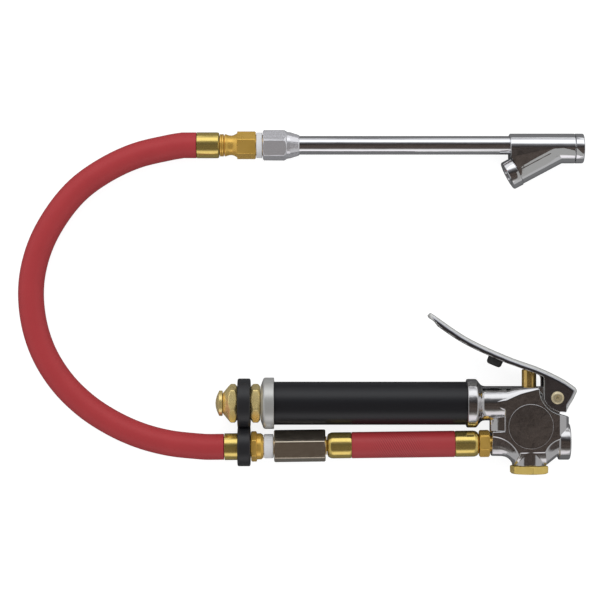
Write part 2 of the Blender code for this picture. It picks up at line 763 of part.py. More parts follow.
def make_valve_body(gun):
    body = add_solid("valve_body", lofted_casting(), "cast_chrome", location=(VALVE_X, 0, 0), parent=gun)
    add(body, neck_and_collar(), web_block(), valve_boss(), inlet_flange(), pivot_lug(), face_disc())
    left = -CASTING_COLLAR_BACK
    floor = SOCKET_FLOOR - VALVE_X
    outlet_end = OUTLET_FACE + OUTLET_BORE_DEPTH
    inlet_end = INLET_FACE - INLET_BORE_DEPTH
    cut(
        body,
        rod((left - GAP, 0, 0), (floor, 0, 0), SLEEVE_R + GAP, LARGE_SIDES),
        rod((floor - GAP, 0, 0), (-STEM_R, 0, 0), GAUGE_PORT_R),
        valve_bores(),
        rod((OUTLET_FACE - GAP, OUTLET_OFF, 0), (outlet_end, OUTLET_OFF, 0), NIPPLE_THREAD_R + GAP),
        rod((outlet_end - GAP, OUTLET_OFF, 0), (-UPPER_CHAMBER_R + GAP, SEAT_FACE / 1.5, 0), OUTLET_PORT_R),
        rod((INLET_FACE + GAP, INLET_OFF, 0), (inlet_end, INLET_OFF, 0), INLET_BORE_R, SIDES),
        rod((inlet_end + GAP, INLET_OFF, 0), (LOWER_CHAMBER_R - GAP * 3, INLET_OFF, 0), INLET_PORT_R),
        rod((PIVOT_X, PIVOT_Y, -CASTING_HALF), (PIVOT_X, PIVOT_Y, CASTING_HALF), SCREW_R + GAP),
        solver="MANIFOLD",
    )
    return body


# Valve parts


def stem_top():
    """Height of the stem's top under the lever, from the barrel axis."""
    curve = smooth_curve(LEVER_TOP, CURVE_STEPS)
    under = offset_curve(curve, LEVER_PLATE)
    heights = []
    for share in (-1.0, 0.0, 1.0):
        along = -PIVOT_X + share * STEM_R
        for a, b in zip(under, under[1:]):
            if a.x <= along <= b.x:
                height = a.y + (b.y - a.y) * (along - a.x) / (b.x - a.x)
                heights.append(height + abs(share) * STEM_DOME)
    return PIVOT_Y + min(heights) - STEM_REST_GAP


def make_valve(gun):
    """The stem and what it carries, turned round local X, which points up the stem."""
    up = (0, 0, math.pi / 2)
    stem = empty("valve_stem_axis", (VALVE_X, 0, 0), gun, up)
    top = stem_top()
    groove_low = RING_GROOVE_TOP - RING_GROOVE_LENGTH
    groove_r = STEM_R - 2 * RING_WIRE_R
    seal_top = SEAT_FACE - GAP
    seal_low = seal_top - SEAL_THICKNESS
    poppet_top = seal_low - GAP
    poppet_low = poppet_top - POPPET_LENGTH
    tail = poppet_low - POPPET_PILOT
    turned_piece(
        "valve_stem",
        [
            (tail, 0), (tail, STEM_TAIL_R), (seal_top + GAP, STEM_TAIL_R), (seal_top + GAP, STEM_ROD_R),
            (UPPER_CHAMBER_TOP - STEM_ROD_R, STEM_ROD_R), (UPPER_CHAMBER_TOP, STEM_R),
            (groove_low, STEM_R), (groove_low, groove_r), (RING_GROOVE_TOP, groove_r),
            (RING_GROOVE_TOP, STEM_R), (top - STEM_DOME, STEM_R), (top - STEM_DOME / 3, STEM_R * 0.6),
            (top, 0),
        ],
        "brass", closed=False, sides=SMALL_SIDES, parent=stem,
    )
    middle = (groove_low + RING_GROOVE_TOP) / 2
    ring_r = (groove_r + STEM_R + GAP) / 2
    ring = [(middle + RING_WIRE_R * math.cos(a), ring_r + RING_WIRE_R * math.sin(a))
            for a in (math.pi * i / 3 for i in range(6))]
    turned_piece("stem_ring", ring, "black_rubber", sides=SMALL_SIDES, parent=stem)
    bore = STEM_TAIL_R + GAP
    turned_piece(
        "valve_seal", bored([(seal_low, SEAL_R), (seal_top, SEAL_R)], [(seal_low, bore), (seal_top, bore)]),
        "black_rubber", sides=SMALL_SIDES, parent=stem,
    )
    turned_piece(
        "valve_poppet",
        bored(
            [(tail, POPPET_PILOT_R), (poppet_low, POPPET_PILOT_R), (poppet_low, POPPET_R),
             (poppet_top, POPPET_R)],
            [(tail, bore), (poppet_top, bore)],
        ),
        "brass", sides=SMALL_SIDES, parent=stem,
    )
    fixed = empty("valve_cap_axis", (VALVE_X, 0, 0), gun, up)
    coil("valve_spring", VALVE_CAP_POCKET_FLOOR, poppet_low, VALVE_COIL_R, VALVE_WIRE_R, VALVE_TURNS, parent=fixed)
    face = VALVE_BOSS_END - GAP
    bottom = face - VALVE_CAP_LENGTH
    plug_top = face + VALVE_CAP_PLUG
    plug_r = LOWER_CHAMBER_R - GAP
    edge = hex_corner(VALVE_CAP_FLATS)
    hex_piece(
        "valve_cap",
        [
            (bottom, 0.0), (bottom, edge - VALVE_CAP_CHAMFER * 2), (bottom + VALVE_CAP_CHAMFER, edge),
            (face, edge), (face, plug_r), (plug_top, plug_r), (plug_top, VALVE_CAP_POCKET_R),
            (VALVE_CAP_POCKET_FLOOR, VALVE_CAP_POCKET_R), (VALVE_CAP_POCKET_FLOOR, 0.0),
        ],
        VALVE_CAP_FLATS, math.pi / 2 + VALVE_CAP_TURN, "brass", closed=False, parent=fixed,
    )


# Lever


def lever_plan(inset):
    """The lever seen from above, as a prism across its height: a taper with a rounded tip."""
    tip = LEVER_TOP[0][0] + LEVER_TIP_DROP[0] + inset
    wide, narrow = LEVER_HALF - inset, LEVER_TIP_HALF - inset
    rear = LEVER_REAR[0][0] + LEVER_PLATE
    corner = arc(tip + LEVER_TIP_ROUND, narrow - LEVER_TIP_ROUND, LEVER_TIP_ROUND, 90, 180, 4)
    half = [(rear, wide), (LEVER_TAPER_START, wide)] + corner
    outline = half + [(x, -z) for x, z in reversed(half)]
    bm = prism(list(reversed(outline)), -0.03, 0.07)
    return rotated(bm, "X", -math.pi / 2)


def make_lever(lever):
    curve = smooth_curve(LEVER_TOP, CURVE_STEPS)
    flange = offset_curve(curve, LEVER_DEPTH)
    tip = Vector(LEVER_TOP[0]) + Vector(LEVER_TIP_DROP)
    flange_start = curve[0].x + LEVER_FLANGE_START
    flange = [p for p in flange if flange_start < p.x < EAR_LEFT]
    ear = arc(*EAR_ROUND, 6)
    outline = [tuple(p[:2]) for p in curve] + list(LEVER_REAR) + ear
    outline += [(EAR_LEFT, flange[-1].y - LEVER_WALL)] + [tuple(p) for p in reversed(flange)]
    outline += [tuple(p) for p in offset_curve(curve, LEVER_PLATE)[:1]]
    outline[-1] = (tip.x + LEVER_FLANGE_START, tip.y - LEVER_FLANGE_START * 0.75)
    outline += [tuple(tip)]
    body = add_solid("lever", prism(outline, -LEVER_HALF, LEVER_HALF), "cast_chrome", parent=lever)
    combine(body, lever_plan(0), "INTERSECT")
    roof = offset_curve(curve, LEVER_PLATE)
    arm = [tuple(p) for p in roof if p.x > flange_start and p.x < EAR_LEFT]
    arm += [(EAR_LEFT, arm[-1][1] - LEVER_PLATE / 2), (EAR_LEFT, -LEVER_HALF), (flange_start, -LEVER_HALF)]
    channel = add_solid("channel", prism(arm, -LEVER_HALF, LEVER_HALF), None, parent=lever)
    combine(channel, lever_plan(LEVER_WALL), "INTERSECT")
    cut(body, mesh_copy(channel))
    rear = [Vector(p) for p in LEVER_REAR]
    inner = offset_curve([Vector(curve[-1][:2])] + rear, LEVER_PLATE)
    ears = [tuple(p) for p in roof if p.x > EAR_LEFT - LEVER_WALL and p.x < inner[1].x]
    ears += [tuple(p) for p in inner[1:]] + [(inner[-1].x, -LEVER_HALF * 2)]
    ears += [(EAR_LEFT * 1.5, -LEVER_HALF * 2), (EAR_LEFT * 1.5, ears[0][1] - LEVER_PLATE)]
    cut(body, prism(ears, -LUG_HALF - GAP, LUG_HALF + GAP))
    cut(body, rod((0, 0, -LEVER_HALF * 2), (0, 0, LEVER_HALF * 2), SCREW_R + GAP))
    return body


def mesh_copy(obj):
    """The object's mesh as a helper solid. The object itself goes."""
    bm = bmesh.new()
    bm.from_mesh(obj.data)
    bpy.data.objects.remove(obj)
    return bm


def make_bumper(lever):
    """The rubber stop, turned round an axis square to the lever's underside."""
    curve = smooth_curve(LEVER_TOP, CURVE_STEPS)
    for a, b in zip(curve, curve[1:]):
        if a.x <= BUMPER_ALONG <= b.x:
            break
    spot = a + (b - a) * (BUMPER_ALONG - a.x) / (b.x - a.x)
    slope = math.atan2(b.y - a.y, b.x - a.x)
    low, high = BUMPER_REACH, LEVER_PLATE + GAP
    turned_piece(
        "lever_bumper",
        [(high, 0), (high, BUMPER_R - BUMPER_EDGE), (high + BUMPER_EDGE, BUMPER_R),
         (low - BUMPER_EDGE, BUMPER_R), (low, BUMPER_R - BUMPER_EDGE), (low, 0)],
        "black_rubber", closed=False, sides=SIDES, parent=lever,
        location=(spot.x, spot.y, 0), turn=(0, 0, slope - math.pi / 2),
    )


def make_screw(lever):
    """The pivot screw. Its axis is the lever's, and local X points up through its head."""
    under = LEVER_HALF + GAP
    top = under + SCREW_HEAD_HEIGHT
    turned_piece(
        "lever_screw",
        [(-LEVER_HALF, 0), (-LEVER_HALF, SCREW_R), (under, SCREW_R), (under, SCREW_HEAD_R),
         (under + SCREW_HEAD_HEIGHT * 0.4, SCREW_HEAD_R), (top, SCREW_HEAD_R * 0.62), (top, 0)],
        "brass", closed=False, sides=SIDES, parent=lever, turn=(0, -math.pi / 2, 0),
    )


# Gauge barrel


def make_barrel(gun):
    collar_edge = COLLAR_R - COLLAR_CHAMFER_DEPTH
    sleeve = turned_piece(
        "barrel_sleeve",
        bored(
            [(SLEEVE_LEFT - SLEEVE_SEATED, SLEEVE_R), (SLEEVE_RIGHT + SLEEVE_SEATED, SLEEVE_R)],
            [(SLEEVE_LEFT - SLEEVE_SEATED, SLEEVE_BORE_R), (SLEEVE_RIGHT + SLEEVE_SEATED, SLEEVE_BORE_R)],
        ),
        "anodised_black", sides=LARGE_SIDES, parent=gun,
    )
    middle = (SLEEVE_LEFT + SLEEVE_RIGHT) / 2
    half, end = WINDOW_LENGTH / 2 - WINDOW_WIDTH / 2, WINDOW_WIDTH / 2
    slot = arc(middle + half, 0, end, -90, 90, 6) + arc(middle - half, 0, end, 90, 270, 6)
    cut(sleeve, prism(slot, -SLEEVE_R - GAP, -SLEEVE_BORE_R / 2))
    turned_piece(
        "barrel_collar",
        bored(
            [(COLLAR_LEFT, collar_edge), (COLLAR_LEFT + COLLAR_CHAMFER_LENGTH, COLLAR_R),
             (SLEEVE_LEFT - GAP, COLLAR_R), (SLEEVE_LEFT, COLLAR_R - GAP)],
            [(COLLAR_LEFT, STUD_R + GAP), (COLLAR_FLOOR, STUD_R + GAP), (COLLAR_FLOOR, SLEEVE_R + GAP),
             (SLEEVE_LEFT, SLEEVE_R + GAP)],
        ),
        "aluminium", sides=LARGE_SIDES, parent=gun,
    )
    lens_left, lens_right = COLLAR_FLOOR + GAP, SOCKET_FLOOR - GAP
    turned_piece(
        "gauge_lens",
        bored([(lens_left, LENS_R), (lens_right, LENS_R)], [(lens_left, LENS_BORE_R), (lens_right, LENS_BORE_R)]),
        "clear", parent=gun,
    )
    flange_left, flange_right = COLLAR_FLOOR + GAP, COLLAR_FLOOR + GAP + STUD_FLANGE_LENGTH
    turned_piece(
        "gauge_stud",
        bored(
            [(STUD_LEFT, STUD_R), (flange_left, STUD_R), (flange_left, LENS_BORE_R - GAP),
             (flange_right, LENS_BORE_R - GAP)],
            [(STUD_LEFT, STUD_BORE_R), (flange_right, STUD_BORE_R)],
        ),
        "brass", parent=gun,
    )
    return flange_right


def make_gauge(gauge, gun, stud_face):
    """What slides in the barrel, and its spring."""
    spigot_r = DRUM_R - DRUM_WALL - GAP
    spigot_left = DRUM_RIGHT - PISTON_SPIGOT
    turned_piece(
        "gauge_piston",
        [(spigot_left, 0), (spigot_left, spigot_r), (PISTON_LEFT, spigot_r), (PISTON_LEFT, DRUM_R),
         (PISTON_RIGHT, DRUM_R), (PISTON_RIGHT, 0)],
        "black_plastic", closed=False, parent=gauge,
    )
    cup_left, cup_right = PISTON_RIGHT + GAP, PISTON_RIGHT + GAP + CUP_LENGTH
    turned_piece(
        "piston_cup",
        [(cup_left, 0), (cup_left, DRUM_R), (cup_right, DRUM_R), (cup_right, DRUM_R - CUP_LIP),
         (cup_left + CUP_LENGTH / 2, DRUM_R - 2 * CUP_LIP), (cup_left + CUP_LENGTH / 2, 0)],
        "black_rubber", closed=False, sides=SIDES, parent=gauge,
    )
    drum_left = DRUM_RIGHT - DRUM_LENGTH
    turned_piece(
        "indicator_drum",
        bored([(drum_left, DRUM_R), (DRUM_RIGHT, DRUM_R)],
              [(drum_left, DRUM_R - DRUM_WALL), (DRUM_RIGHT, DRUM_R - DRUM_WALL)]),
        "drum_white", parent=gauge,
    )
    coil("gauge_spring", stud_face, spigot_left, GAUGE_COIL_R, GAUGE_WIRE_R, GAUGE_TURNS, parent=gun)


def make_barrel_end(gun):
    """Stud hardware on the barrel's free end: nuts, bracket and end plug."""
    bore = STUD_R + GAP
    edge = hex_corner(BARREL_NUT_FLATS)
    left, right = INNER_NUT_RIGHT - INNER_NUT_LENGTH, INNER_NUT_RIGHT
    flat = BARREL_NUT_FLATS / 2 - GAP
    hex_piece(
        "nut_inner",
        bored(
            [(left, flat), (left + INNER_NUT_CHAMFER, edge), (right - INNER_NUT_CHAMFER, edge), (right, flat)],
            [(left, bore), (right, bore)],
        ),
        BARREL_NUT_FLATS, BARREL_NUT_TURN, "brass", parent=gun,
    )
    left, right = OUTER_NUT_LEFT, OUTER_NUT_RIGHT
    hex_piece(
        "nut_outer",
        bored(
            [(left, OUTER_NUT_NOSE_R), (left + OUTER_NUT_CONE, edge), (right - INNER_NUT_CHAMFER, edge),
             (right, flat)],
            [(left, bore), (right, bore)],
        ),
        BARREL_NUT_FLATS, BARREL_NUT_TURN, "brass", parent=gun,
    )
    make_bracket(gun)
    rim = OUTER_NUT_LEFT - GAP
    face = rim - END_PLUG_RIM
    spigot_r = STUD_BORE_R - GAP
    turned_piece(
        "gauge_end_plug",
        [(face - END_PLUG_DOME, 0), (face - END_PLUG_DOME * 0.85, END_PLUG_R * 0.35),
         (face - END_PLUG_DOME * 0.45, END_PLUG_R * 0.72), (face, END_PLUG_R - GAP),
         (face + GAP, END_PLUG_R), (rim - GAP, END_PLUG_R), (rim, END_PLUG_R - GAP), (rim, spigot_r),
         (rim + END_PLUG_SPIGOT, spigot_r), (rim + END_PLUG_SPIGOT, 0)],
        "brass", closed=False, parent=gun,
    )


def line_drop(distance):
    """How far the lower line has dropped at a distance to the left of the outlet."""
    return math.sin(LINE_TILT) * distance


def make_bracket(gun):
    """A plate with two eyes, drawn in Y and Z and set across X."""
    middle = (BRACKET_LEFT + BRACKET_RIGHT) / 2
    eye_y = OUTLET_OFF - line_drop(OUTLET.x - middle)
    reach = (BRACKET_R**2 - BRACKET_EYE_R**2 + eye_y**2) / (2 * -eye_y)
    upper = math.degrees(math.acos(reach / BRACKET_R))
    lower = math.degrees(math.acos((-eye_y - reach) / BRACKET_EYE_R))
    outline = arc(0, 0, BRACKET_R, -90 + upper, 270 - upper, 22)
    outline += arc(0, eye_y, BRACKET_EYE_R, 90 + lower, 450 - lower, 16)[1:-1]
    bm = prism(outline, -BRACKET_THICKNESS / 2, BRACKET_THICKNESS / 2)
    rims = [e for e in bm.edges if abs(e.verts[0].co.z - e.verts[1].co.z) < GAP]
    bmesh.ops.bevel(bm, geom=rims, offset=BRACKET_EDGE, segments=1, affect="EDGES")
    rotated(bm, "Y", math.pi / 2)
    bracket = add_solid("hose_bracket", bm, "black_plastic", location=(middle, 0, 0), parent=gun)
    half = BRACKET_THICKNESS
    eye_bore = HOSE_FERRULE_R + BRACKET_EYE_CLEARANCE
    cut(
        bracket,
        rod((-half, 0, 0), (half, 0, 0), STUD_R + GAP),
        rod((-half, eye_y, 0), (half, eye_y, 0), eye_bore, SIDES),
    )


# Lower line


def ferrule_profile(left, right, radius, bore, open_left):
    """A crimped ferrule: a rounded closed end on the fitting, and an open end on the hose."""
    inside = radius - FERRULE_WALL
    if open_left:
        return bored(
            [(left, radius - GAP), (left + GAP, radius), (right - FERRULE_ROUND, radius),
             (right - FERRULE_ROUND * 0.3, radius - FERRULE_ROUND * 0.3), (right, radius - FERRULE_ROUND)],
            [(left, inside), (right - FERRULE_ROUND, inside), (right - FERRULE_ROUND, bore), (right, bore)],
        )
    flipped = ferrule_profile(-right, -left, radius, bore, True)
    return [(-along, r) for along, r in flipped]


def make_whip(line):
    """From the casting's outlet to the coupling, along the line's own X, which runs to the right."""
    hex_right = -THREAD_SHOWN
    hex_left = hex_right - NIPPLE_HEX
    edge = hex_corner(NIPPLE_FLATS)
    barb = bored_barb(hex_left, hex_left - GAP - REAR_FERRULE_LENGTH * 0.8)
    hex_piece(
        "whip_nipple",
        bored(
            barb + [(hex_left, BARB_R), (hex_left, edge - COUPLING_EDGE), (hex_left + COUPLING_EDGE, edge),
                    (hex_right - COUPLING_EDGE, edge), (hex_right, edge - COUPLING_EDGE),
                    (hex_right, NIPPLE_THREAD_R), (OUTLET_BORE_DEPTH - THREAD_SHOWN, NIPPLE_THREAD_R)],
            [(barb[0][0], OUTLET_PORT_R), (OUTLET_BORE_DEPTH - THREAD_SHOWN, OUTLET_PORT_R)],
        ),
        NIPPLE_FLATS, NIPPLE_TURN, "brass", sides=SMALL_SIDES, parent=line,
    )
    rear_right = hex_left - GAP
    rear_left = rear_right - REAR_FERRULE_LENGTH
    front_right = rear_left - WHIP_SHOWN
    front_left = front_right - FRONT_FERRULE_LENGTH
    bore = BARB_R + GAP
    turned_piece(
        "whip_ferrule_rear", ferrule_profile(rear_left, rear_right, WHIP_FERRULE_R, bore, True),
        "brass", parent=line,
    )
    turned_piece(
        "whip_ferrule_front", ferrule_profile(front_left, front_right, WHIP_FERRULE_R, bore, False),
        "brass", parent=line,
    )
    necked = WHIP_FERRULE_R - FERRULE_WALL - GAP
    hose_left = front_left + FERRULE_ROUND + GAP
    hose_right = rear_right - FERRULE_ROUND - GAP
    turned_piece(
        "whip_hose",
        bored(
            [(hose_left, necked), (front_right + GAP, necked), (front_right + GAP, WHIP_R),
             (rear_left - GAP, WHIP_R), (rear_left - GAP, necked), (hose_right, necked)],
            [(hose_left, WHIP_BORE_R), (hose_right, WHIP_BORE_R)],
        ),
        "red_rubber", parent=line,
    )
    coupling_right = front_left - THREAD_SHOWN
    shoulder = front_left - GAP
    thread_left = coupling_right - COUPLING_THREAD_DEPTH + GAP
    barb = [(-along, r) for along, r in bored_barb(-shoulder, -(shoulder + FRONT_FERRULE_LENGTH * 0.8))]
    turned_piece(
        "whip_stem",
        bored(
            [(thread_left, COUPLING_THREAD_R), (shoulder, COUPLING_THREAD_R), (shoulder, BARB_R)]
            + list(reversed(barb)),
            [(thread_left, OUTLET_PORT_R), (barb[0][0], OUTLET_PORT_R)],
        ),
        "brass", sides=SMALL_SIDES, parent=line,
    )
    return coupling_right


def bored_barb(shoulder, end):
    """The outside of a hose barb that points to lower X, from its end to the fitting's shoulder."""
    rings = 2
    step = (shoulder - end) / (rings + 1)
    profile = []
    for i in range(rings):
        start = end + i * step
        profile += [(start, BARB_R * 0.86), (start + step, BARB_R)]
    return profile


def make_coupling(line, right):
    """The long hexagon coupling, the tape, and the long hose's fitting."""
    left = right - COUPLING_LENGTH
    edge = hex_corner(COUPLING_FLATS)
    bore = COUPLING_THREAD_R + GAP
    hex_piece(
        "coupling",
        bored(
            [(left, edge - COUPLING_EDGE * 2), (left + COUPLING_EDGE, edge), (right - COUPLING_EDGE, edge),
             (right, edge - COUPLING_EDGE * 2)],
            [(left, bore), (left + COUPLING_THREAD_DEPTH, bore), (left + COUPLING_THREAD_DEPTH, COUPLING_PORT_R),
             (right - COUPLING_THREAD_DEPTH, COUPLING_PORT_R), (right - COUPLING_THREAD_DEPTH, bore),
             (right, bore)],
        ),
        COUPLING_FLATS, COUPLING_TURN, "dark_nickel", sides=SMALL_SIDES, parent=line,
    )
    tape_right = left - GAP
    tape_left = tape_right - GUN_TAPE_LENGTH
    turned_piece(
        "tape_gun",
        bored([(tape_left, GUN_TAPE_R), (tape_right, GUN_TAPE_R)], [(tape_left, bore), (tape_right, bore)]),
        "tape", parent=line,
    )
    cone_right = tape_left - GAP
    hex_right = cone_right - HOSE_NIPPLE_CONE
    hex_left = hex_right - HOSE_NIPPLE_HEX
    ferrule_right = hex_left - GAP
    ferrule_left = ferrule_right - HOSE_FERRULE_LENGTH
    edge = hex_corner(HOSE_NIPPLE_FLATS)
    thread_end = left + COUPLING_THREAD_DEPTH - GAP
    barb = bored_barb(hex_left, ferrule_left + GAP)
    hex_piece(
        "hose_nipple",
        bored(
            barb + [(hex_left, BARB_R), (hex_left, edge), (hex_right - COUPLING_EDGE, edge),
                    (hex_right, HOSE_NIPPLE_CONE_R), (cone_right - COUPLING_EDGE * 2, HOSE_NIPPLE_CONE_R),
                    (cone_right, HOSE_NIPPLE_CONE_R - COUPLING_EDGE * 2), (cone_right, COUPLING_THREAD_R),
                    (thread_end, COUPLING_THREAD_R)],
            [(barb[0][0], OUTLET_PORT_R), (thread_end, OUTLET_PORT_R)],
        ),
        HOSE_NIPPLE_FLATS, HOSE_NIPPLE_TURN, "brass", parent=line,
    )
    turned_piece(
        "hose_ferrule_gun",
        bored([(ferrule_left, HOSE_FERRULE_R), (ferrule_right, HOSE_FERRULE_R)],
              [(ferrule_left, FERRULE_BORE_R), (ferrule_right, FERRULE_BORE_R)]),
        "brass", parent=line,
    )
    return ferrule_left


def make_hose(line_left):
    """The long hose, on a smooth curve from the gun's ferrule to the chuck's."""
    tilt = Vector((math.cos(LINE_TILT), math.sin(LINE_TILT), 0))
    start = OUTLET + tilt * (line_left - GAP)
    end = Vector((CHUCK_FERRULE_LEFT - GAP, CHUCK_Y, CHUCK_Z))
    leave, arrive = start - tilt * HOSE_STRAIGHT, end - Vector((HOSE_STRAIGHT, 0, 0))
    moved_from, moved_to = start - Vector(HOSE_DRAWN_FROM), end - Vector(HOSE_DRAWN_TO)
    last = len(HOSE_ROUTE) - 1
    route = [Vector(p) + moved_from.lerp(moved_to, i / last) for i, p in enumerate(HOSE_ROUTE)]
    fine = smooth_curve([leave, *route, arrive], 16)
    lengths = [0.0]
    for a, b in zip(fine, fine[1:]):
        lengths.append(lengths[-1] + (b - a).length)
    count = round(lengths[-1] / (2 * HOSE_R * HOSE_POINT_EVERY))
    points = []
    for i in range(count + 1):
        wanted = lengths[-1] * i / count
        j = min(max(k for k, length in enumerate(lengths) if length <= wanted), len(fine) - 2)
        share = (wanted - lengths[j]) / (lengths[j + 1] - lengths[j])
        points.append(fine[j] + (fine[j + 1] - fine[j]) * share)
    print(f"hose: {(lengths[-1] + 2 * HOSE_STRAIGHT) * 1000:.1f} mm between its ferrules")
    tube_curve("hose", [start, *points, end], HOSE_R, 4, "red_rubber")


# Chuck line


def make_swivel(hose_end):
    """The ferrule, and the stem that the chuck turns on."""
    left, right = CHUCK_FERRULE_LEFT, CHUCK_FERRULE_LEFT + CHUCK_FERRULE_LENGTH
    turned_piece(
        "hose_ferrule_chuck",
        bored(
            [(left, CHUCK_FERRULE_R), (right - FERRULE_ROUND / 2, CHUCK_FERRULE_R),
             (right, CHUCK_FERRULE_R - FERRULE_ROUND / 2)],
            [(left, FERRULE_BORE_R), (right, FERRULE_BORE_R)],
        ),
        "brass", parent=hose_end,
    )
    ring_left = right + GAP
    ring_right = ring_left + SWIVEL_RING_LENGTH
    spigot = ring_right + SWIVEL_SPIGOT
    barb = bored_barb(ring_left, left + GAP)
    groove = ring_right + SWIVEL_SPIGOT / 2
    groove_r = SWIVEL_SPIGOT_R - 2 * RING_WIRE_R
    middle = (ring_left + ring_right) / 2
    turned_piece(
        "swivel_stem",
        bored(
            barb + [(ring_left, BARB_R), (ring_left, SWIVEL_RING_R - GAP), (middle - GAP * 2, SWIVEL_RING_R),
                    (middle, SWIVEL_RING_R - GAP * 2), (middle + GAP * 2, SWIVEL_RING_R),
                    (ring_right, SWIVEL_RING_R - GAP), (ring_right, SWIVEL_SPIGOT_R),
                    (groove, SWIVEL_SPIGOT_R), (groove, groove_r), (groove + RING_GROOVE_LENGTH, groove_r),
                    (groove + RING_GROOVE_LENGTH, SWIVEL_SPIGOT_R), (spigot, SWIVEL_SPIGOT_R)],
            [(barb[0][0], OUTLET_PORT_R), (spigot, OUTLET_PORT_R)],
        ),
        "brass", sides=SMALL_SIDES, parent=hose_end,
    )
    mid_groove = groove + RING_GROOVE_LENGTH / 2
    ring_r = (groove_r + SWIVEL_SPIGOT_R + GAP) / 2
    ring = [(mid_groove + RING_WIRE_R * math.cos(a), ring_r + RING_WIRE_R * math.sin(a))
            for a in (math.pi * i / 3 for i in range(6))]
    turned_piece("swivel_ring", ring, "black_rubber", sides=SMALL_SIDES, parent=hose_end)
    return ring_right, spigot


def make_chuck_line(chuck, ring_right, spigot):
    """What turns on the swivel, up to the tube's end in the head."""
    bell_left = ring_right + GAP
    hex_left = bell_left + BELL_LENGTH
    hex_right = hex_left + SWIVEL_HEX
    thread_end = hex_right + SWIVEL_THREAD
    edge = hex_corner(SWIVEL_FLATS)
    seat = SWIVEL_SPIGOT_R + GAP
    floor = spigot + GAP
    hex_piece(
        "swivel_body",
        bored(
            [(bell_left, BELL_MOUTH_R - GAP), (bell_left + GAP * 2, BELL_MOUTH_R),
             (bell_left + BELL_LENGTH * 0.25, BELL_NECK_R + GAP), (bell_left + BELL_LENGTH * 0.5, BELL_NECK_R),
             (bell_left + BELL_LENGTH * 0.75, BELL_NECK_R + GAP * 2), (hex_left - GAP, SWIVEL_FLATS / 2 - GAP),
             (hex_left, edge), (hex_right - COUPLING_EDGE, edge), (hex_right, edge - COUPLING_EDGE),
             (hex_right, SWIVEL_THREAD_R), (thread_end, SWIVEL_THREAD_R)],
            [(bell_left, seat), (floor, seat), (floor, SWIVEL_PORT_R), (thread_end, SWIVEL_PORT_R)],
        ),
        SWIVEL_FLATS, SWIVEL_TURN, "brass", parent=chuck,
    )
    tape_left = hex_right + GAP
    tape_right = tape_left + CHUCK_TAPE_LENGTH
    bore = SWIVEL_THREAD_R + GAP
    turned_piece(
        "tape_chuck",
        bored([(tape_left, CHUCK_TAPE_R), (tape_right, CHUCK_TAPE_R)], [(tape_left, bore), (tape_right, bore)]),
        "tape", parent=chuck,
    )
    nut_left = tape_right + GAP
    cone_left = nut_left + CHUCK_NUT_HEX
    nut_right = cone_left + CHUCK_NUT_CONE
    tube_left = thread_end + GAP
    edge = hex_corner(CHUCK_NUT_FLATS)
    hex_piece(
        "chuck_nut",
        bored(
            [(nut_left, edge - CHUCK_NUT_CHAMFER), (nut_left + CHUCK_NUT_CHAMFER, edge), (cone_left, edge),
             (cone_left + CHUCK_NUT_CONE * 0.3, CHUCK_NUT_FLATS / 2 - GAP),
             (nut_right, TUBE_R + 2 * GAP)],
            [(nut_left, bore), (tube_left, bore), (tube_left, TUBE_R + GAP), (nut_right, TUBE_R + GAP)],
        ),
        CHUCK_NUT_FLATS, CHUCK_NUT_TURN, "chrome", parent=chuck,
    )
    head_left = nut_right + TUBE_SHOWN
    tube_right = head_left + TUBE_SEATED
    turned_piece(
        "chuck_tube",
        bored(
            [(tube_left + GAP, TUBE_R), (tube_right, TUBE_R)],
            [(tube_left + GAP, TUBE_R - TUBE_WALL), (tube_right, TUBE_R - TUBE_WALL)],
        ),
        "chrome", parent=chuck,
    )
    return head_left


def web_outline():
    """The flat web between the head's two barrels, from the head's left end."""
    meets = Vector((FOOT_MEETS, 0))
    along = Vector((math.cos(FOOT_ANGLE), math.sin(FOOT_ANGLE)))
    across = Vector((along.y, -along.x))
    past = meets + along * (FOOT_LENGTH + NOSE_EDGE)
    inside = NOSE_EDGE / 2
    return [(inside, 0), (inside, -HEAD_R / 2), tuple(past + across * (REVERSE_CAP_R + GAP)),
            tuple(past - across * FOOT_R / 4), tuple(meets)]


def foot_bore(mouth_face):
    """The bore of a foot: room for the cap's spigot, then for the pin and its spring."""
    spigot = mouth_face - NOSE_SPIGOT - GAP
    cavity = spigot - PIN_GUIDE
    return turned(
        [(cavity, 0), (cavity, NOSE_INNER_R - GAP), (spigot, NOSE_INNER_R - GAP),
         (spigot, NOSE_SPIGOT_R + GAP), (mouth_face + GAP, NOSE_SPIGOT_R + GAP), (mouth_face + GAP, 0)],
        SIDES,
        False,
    )


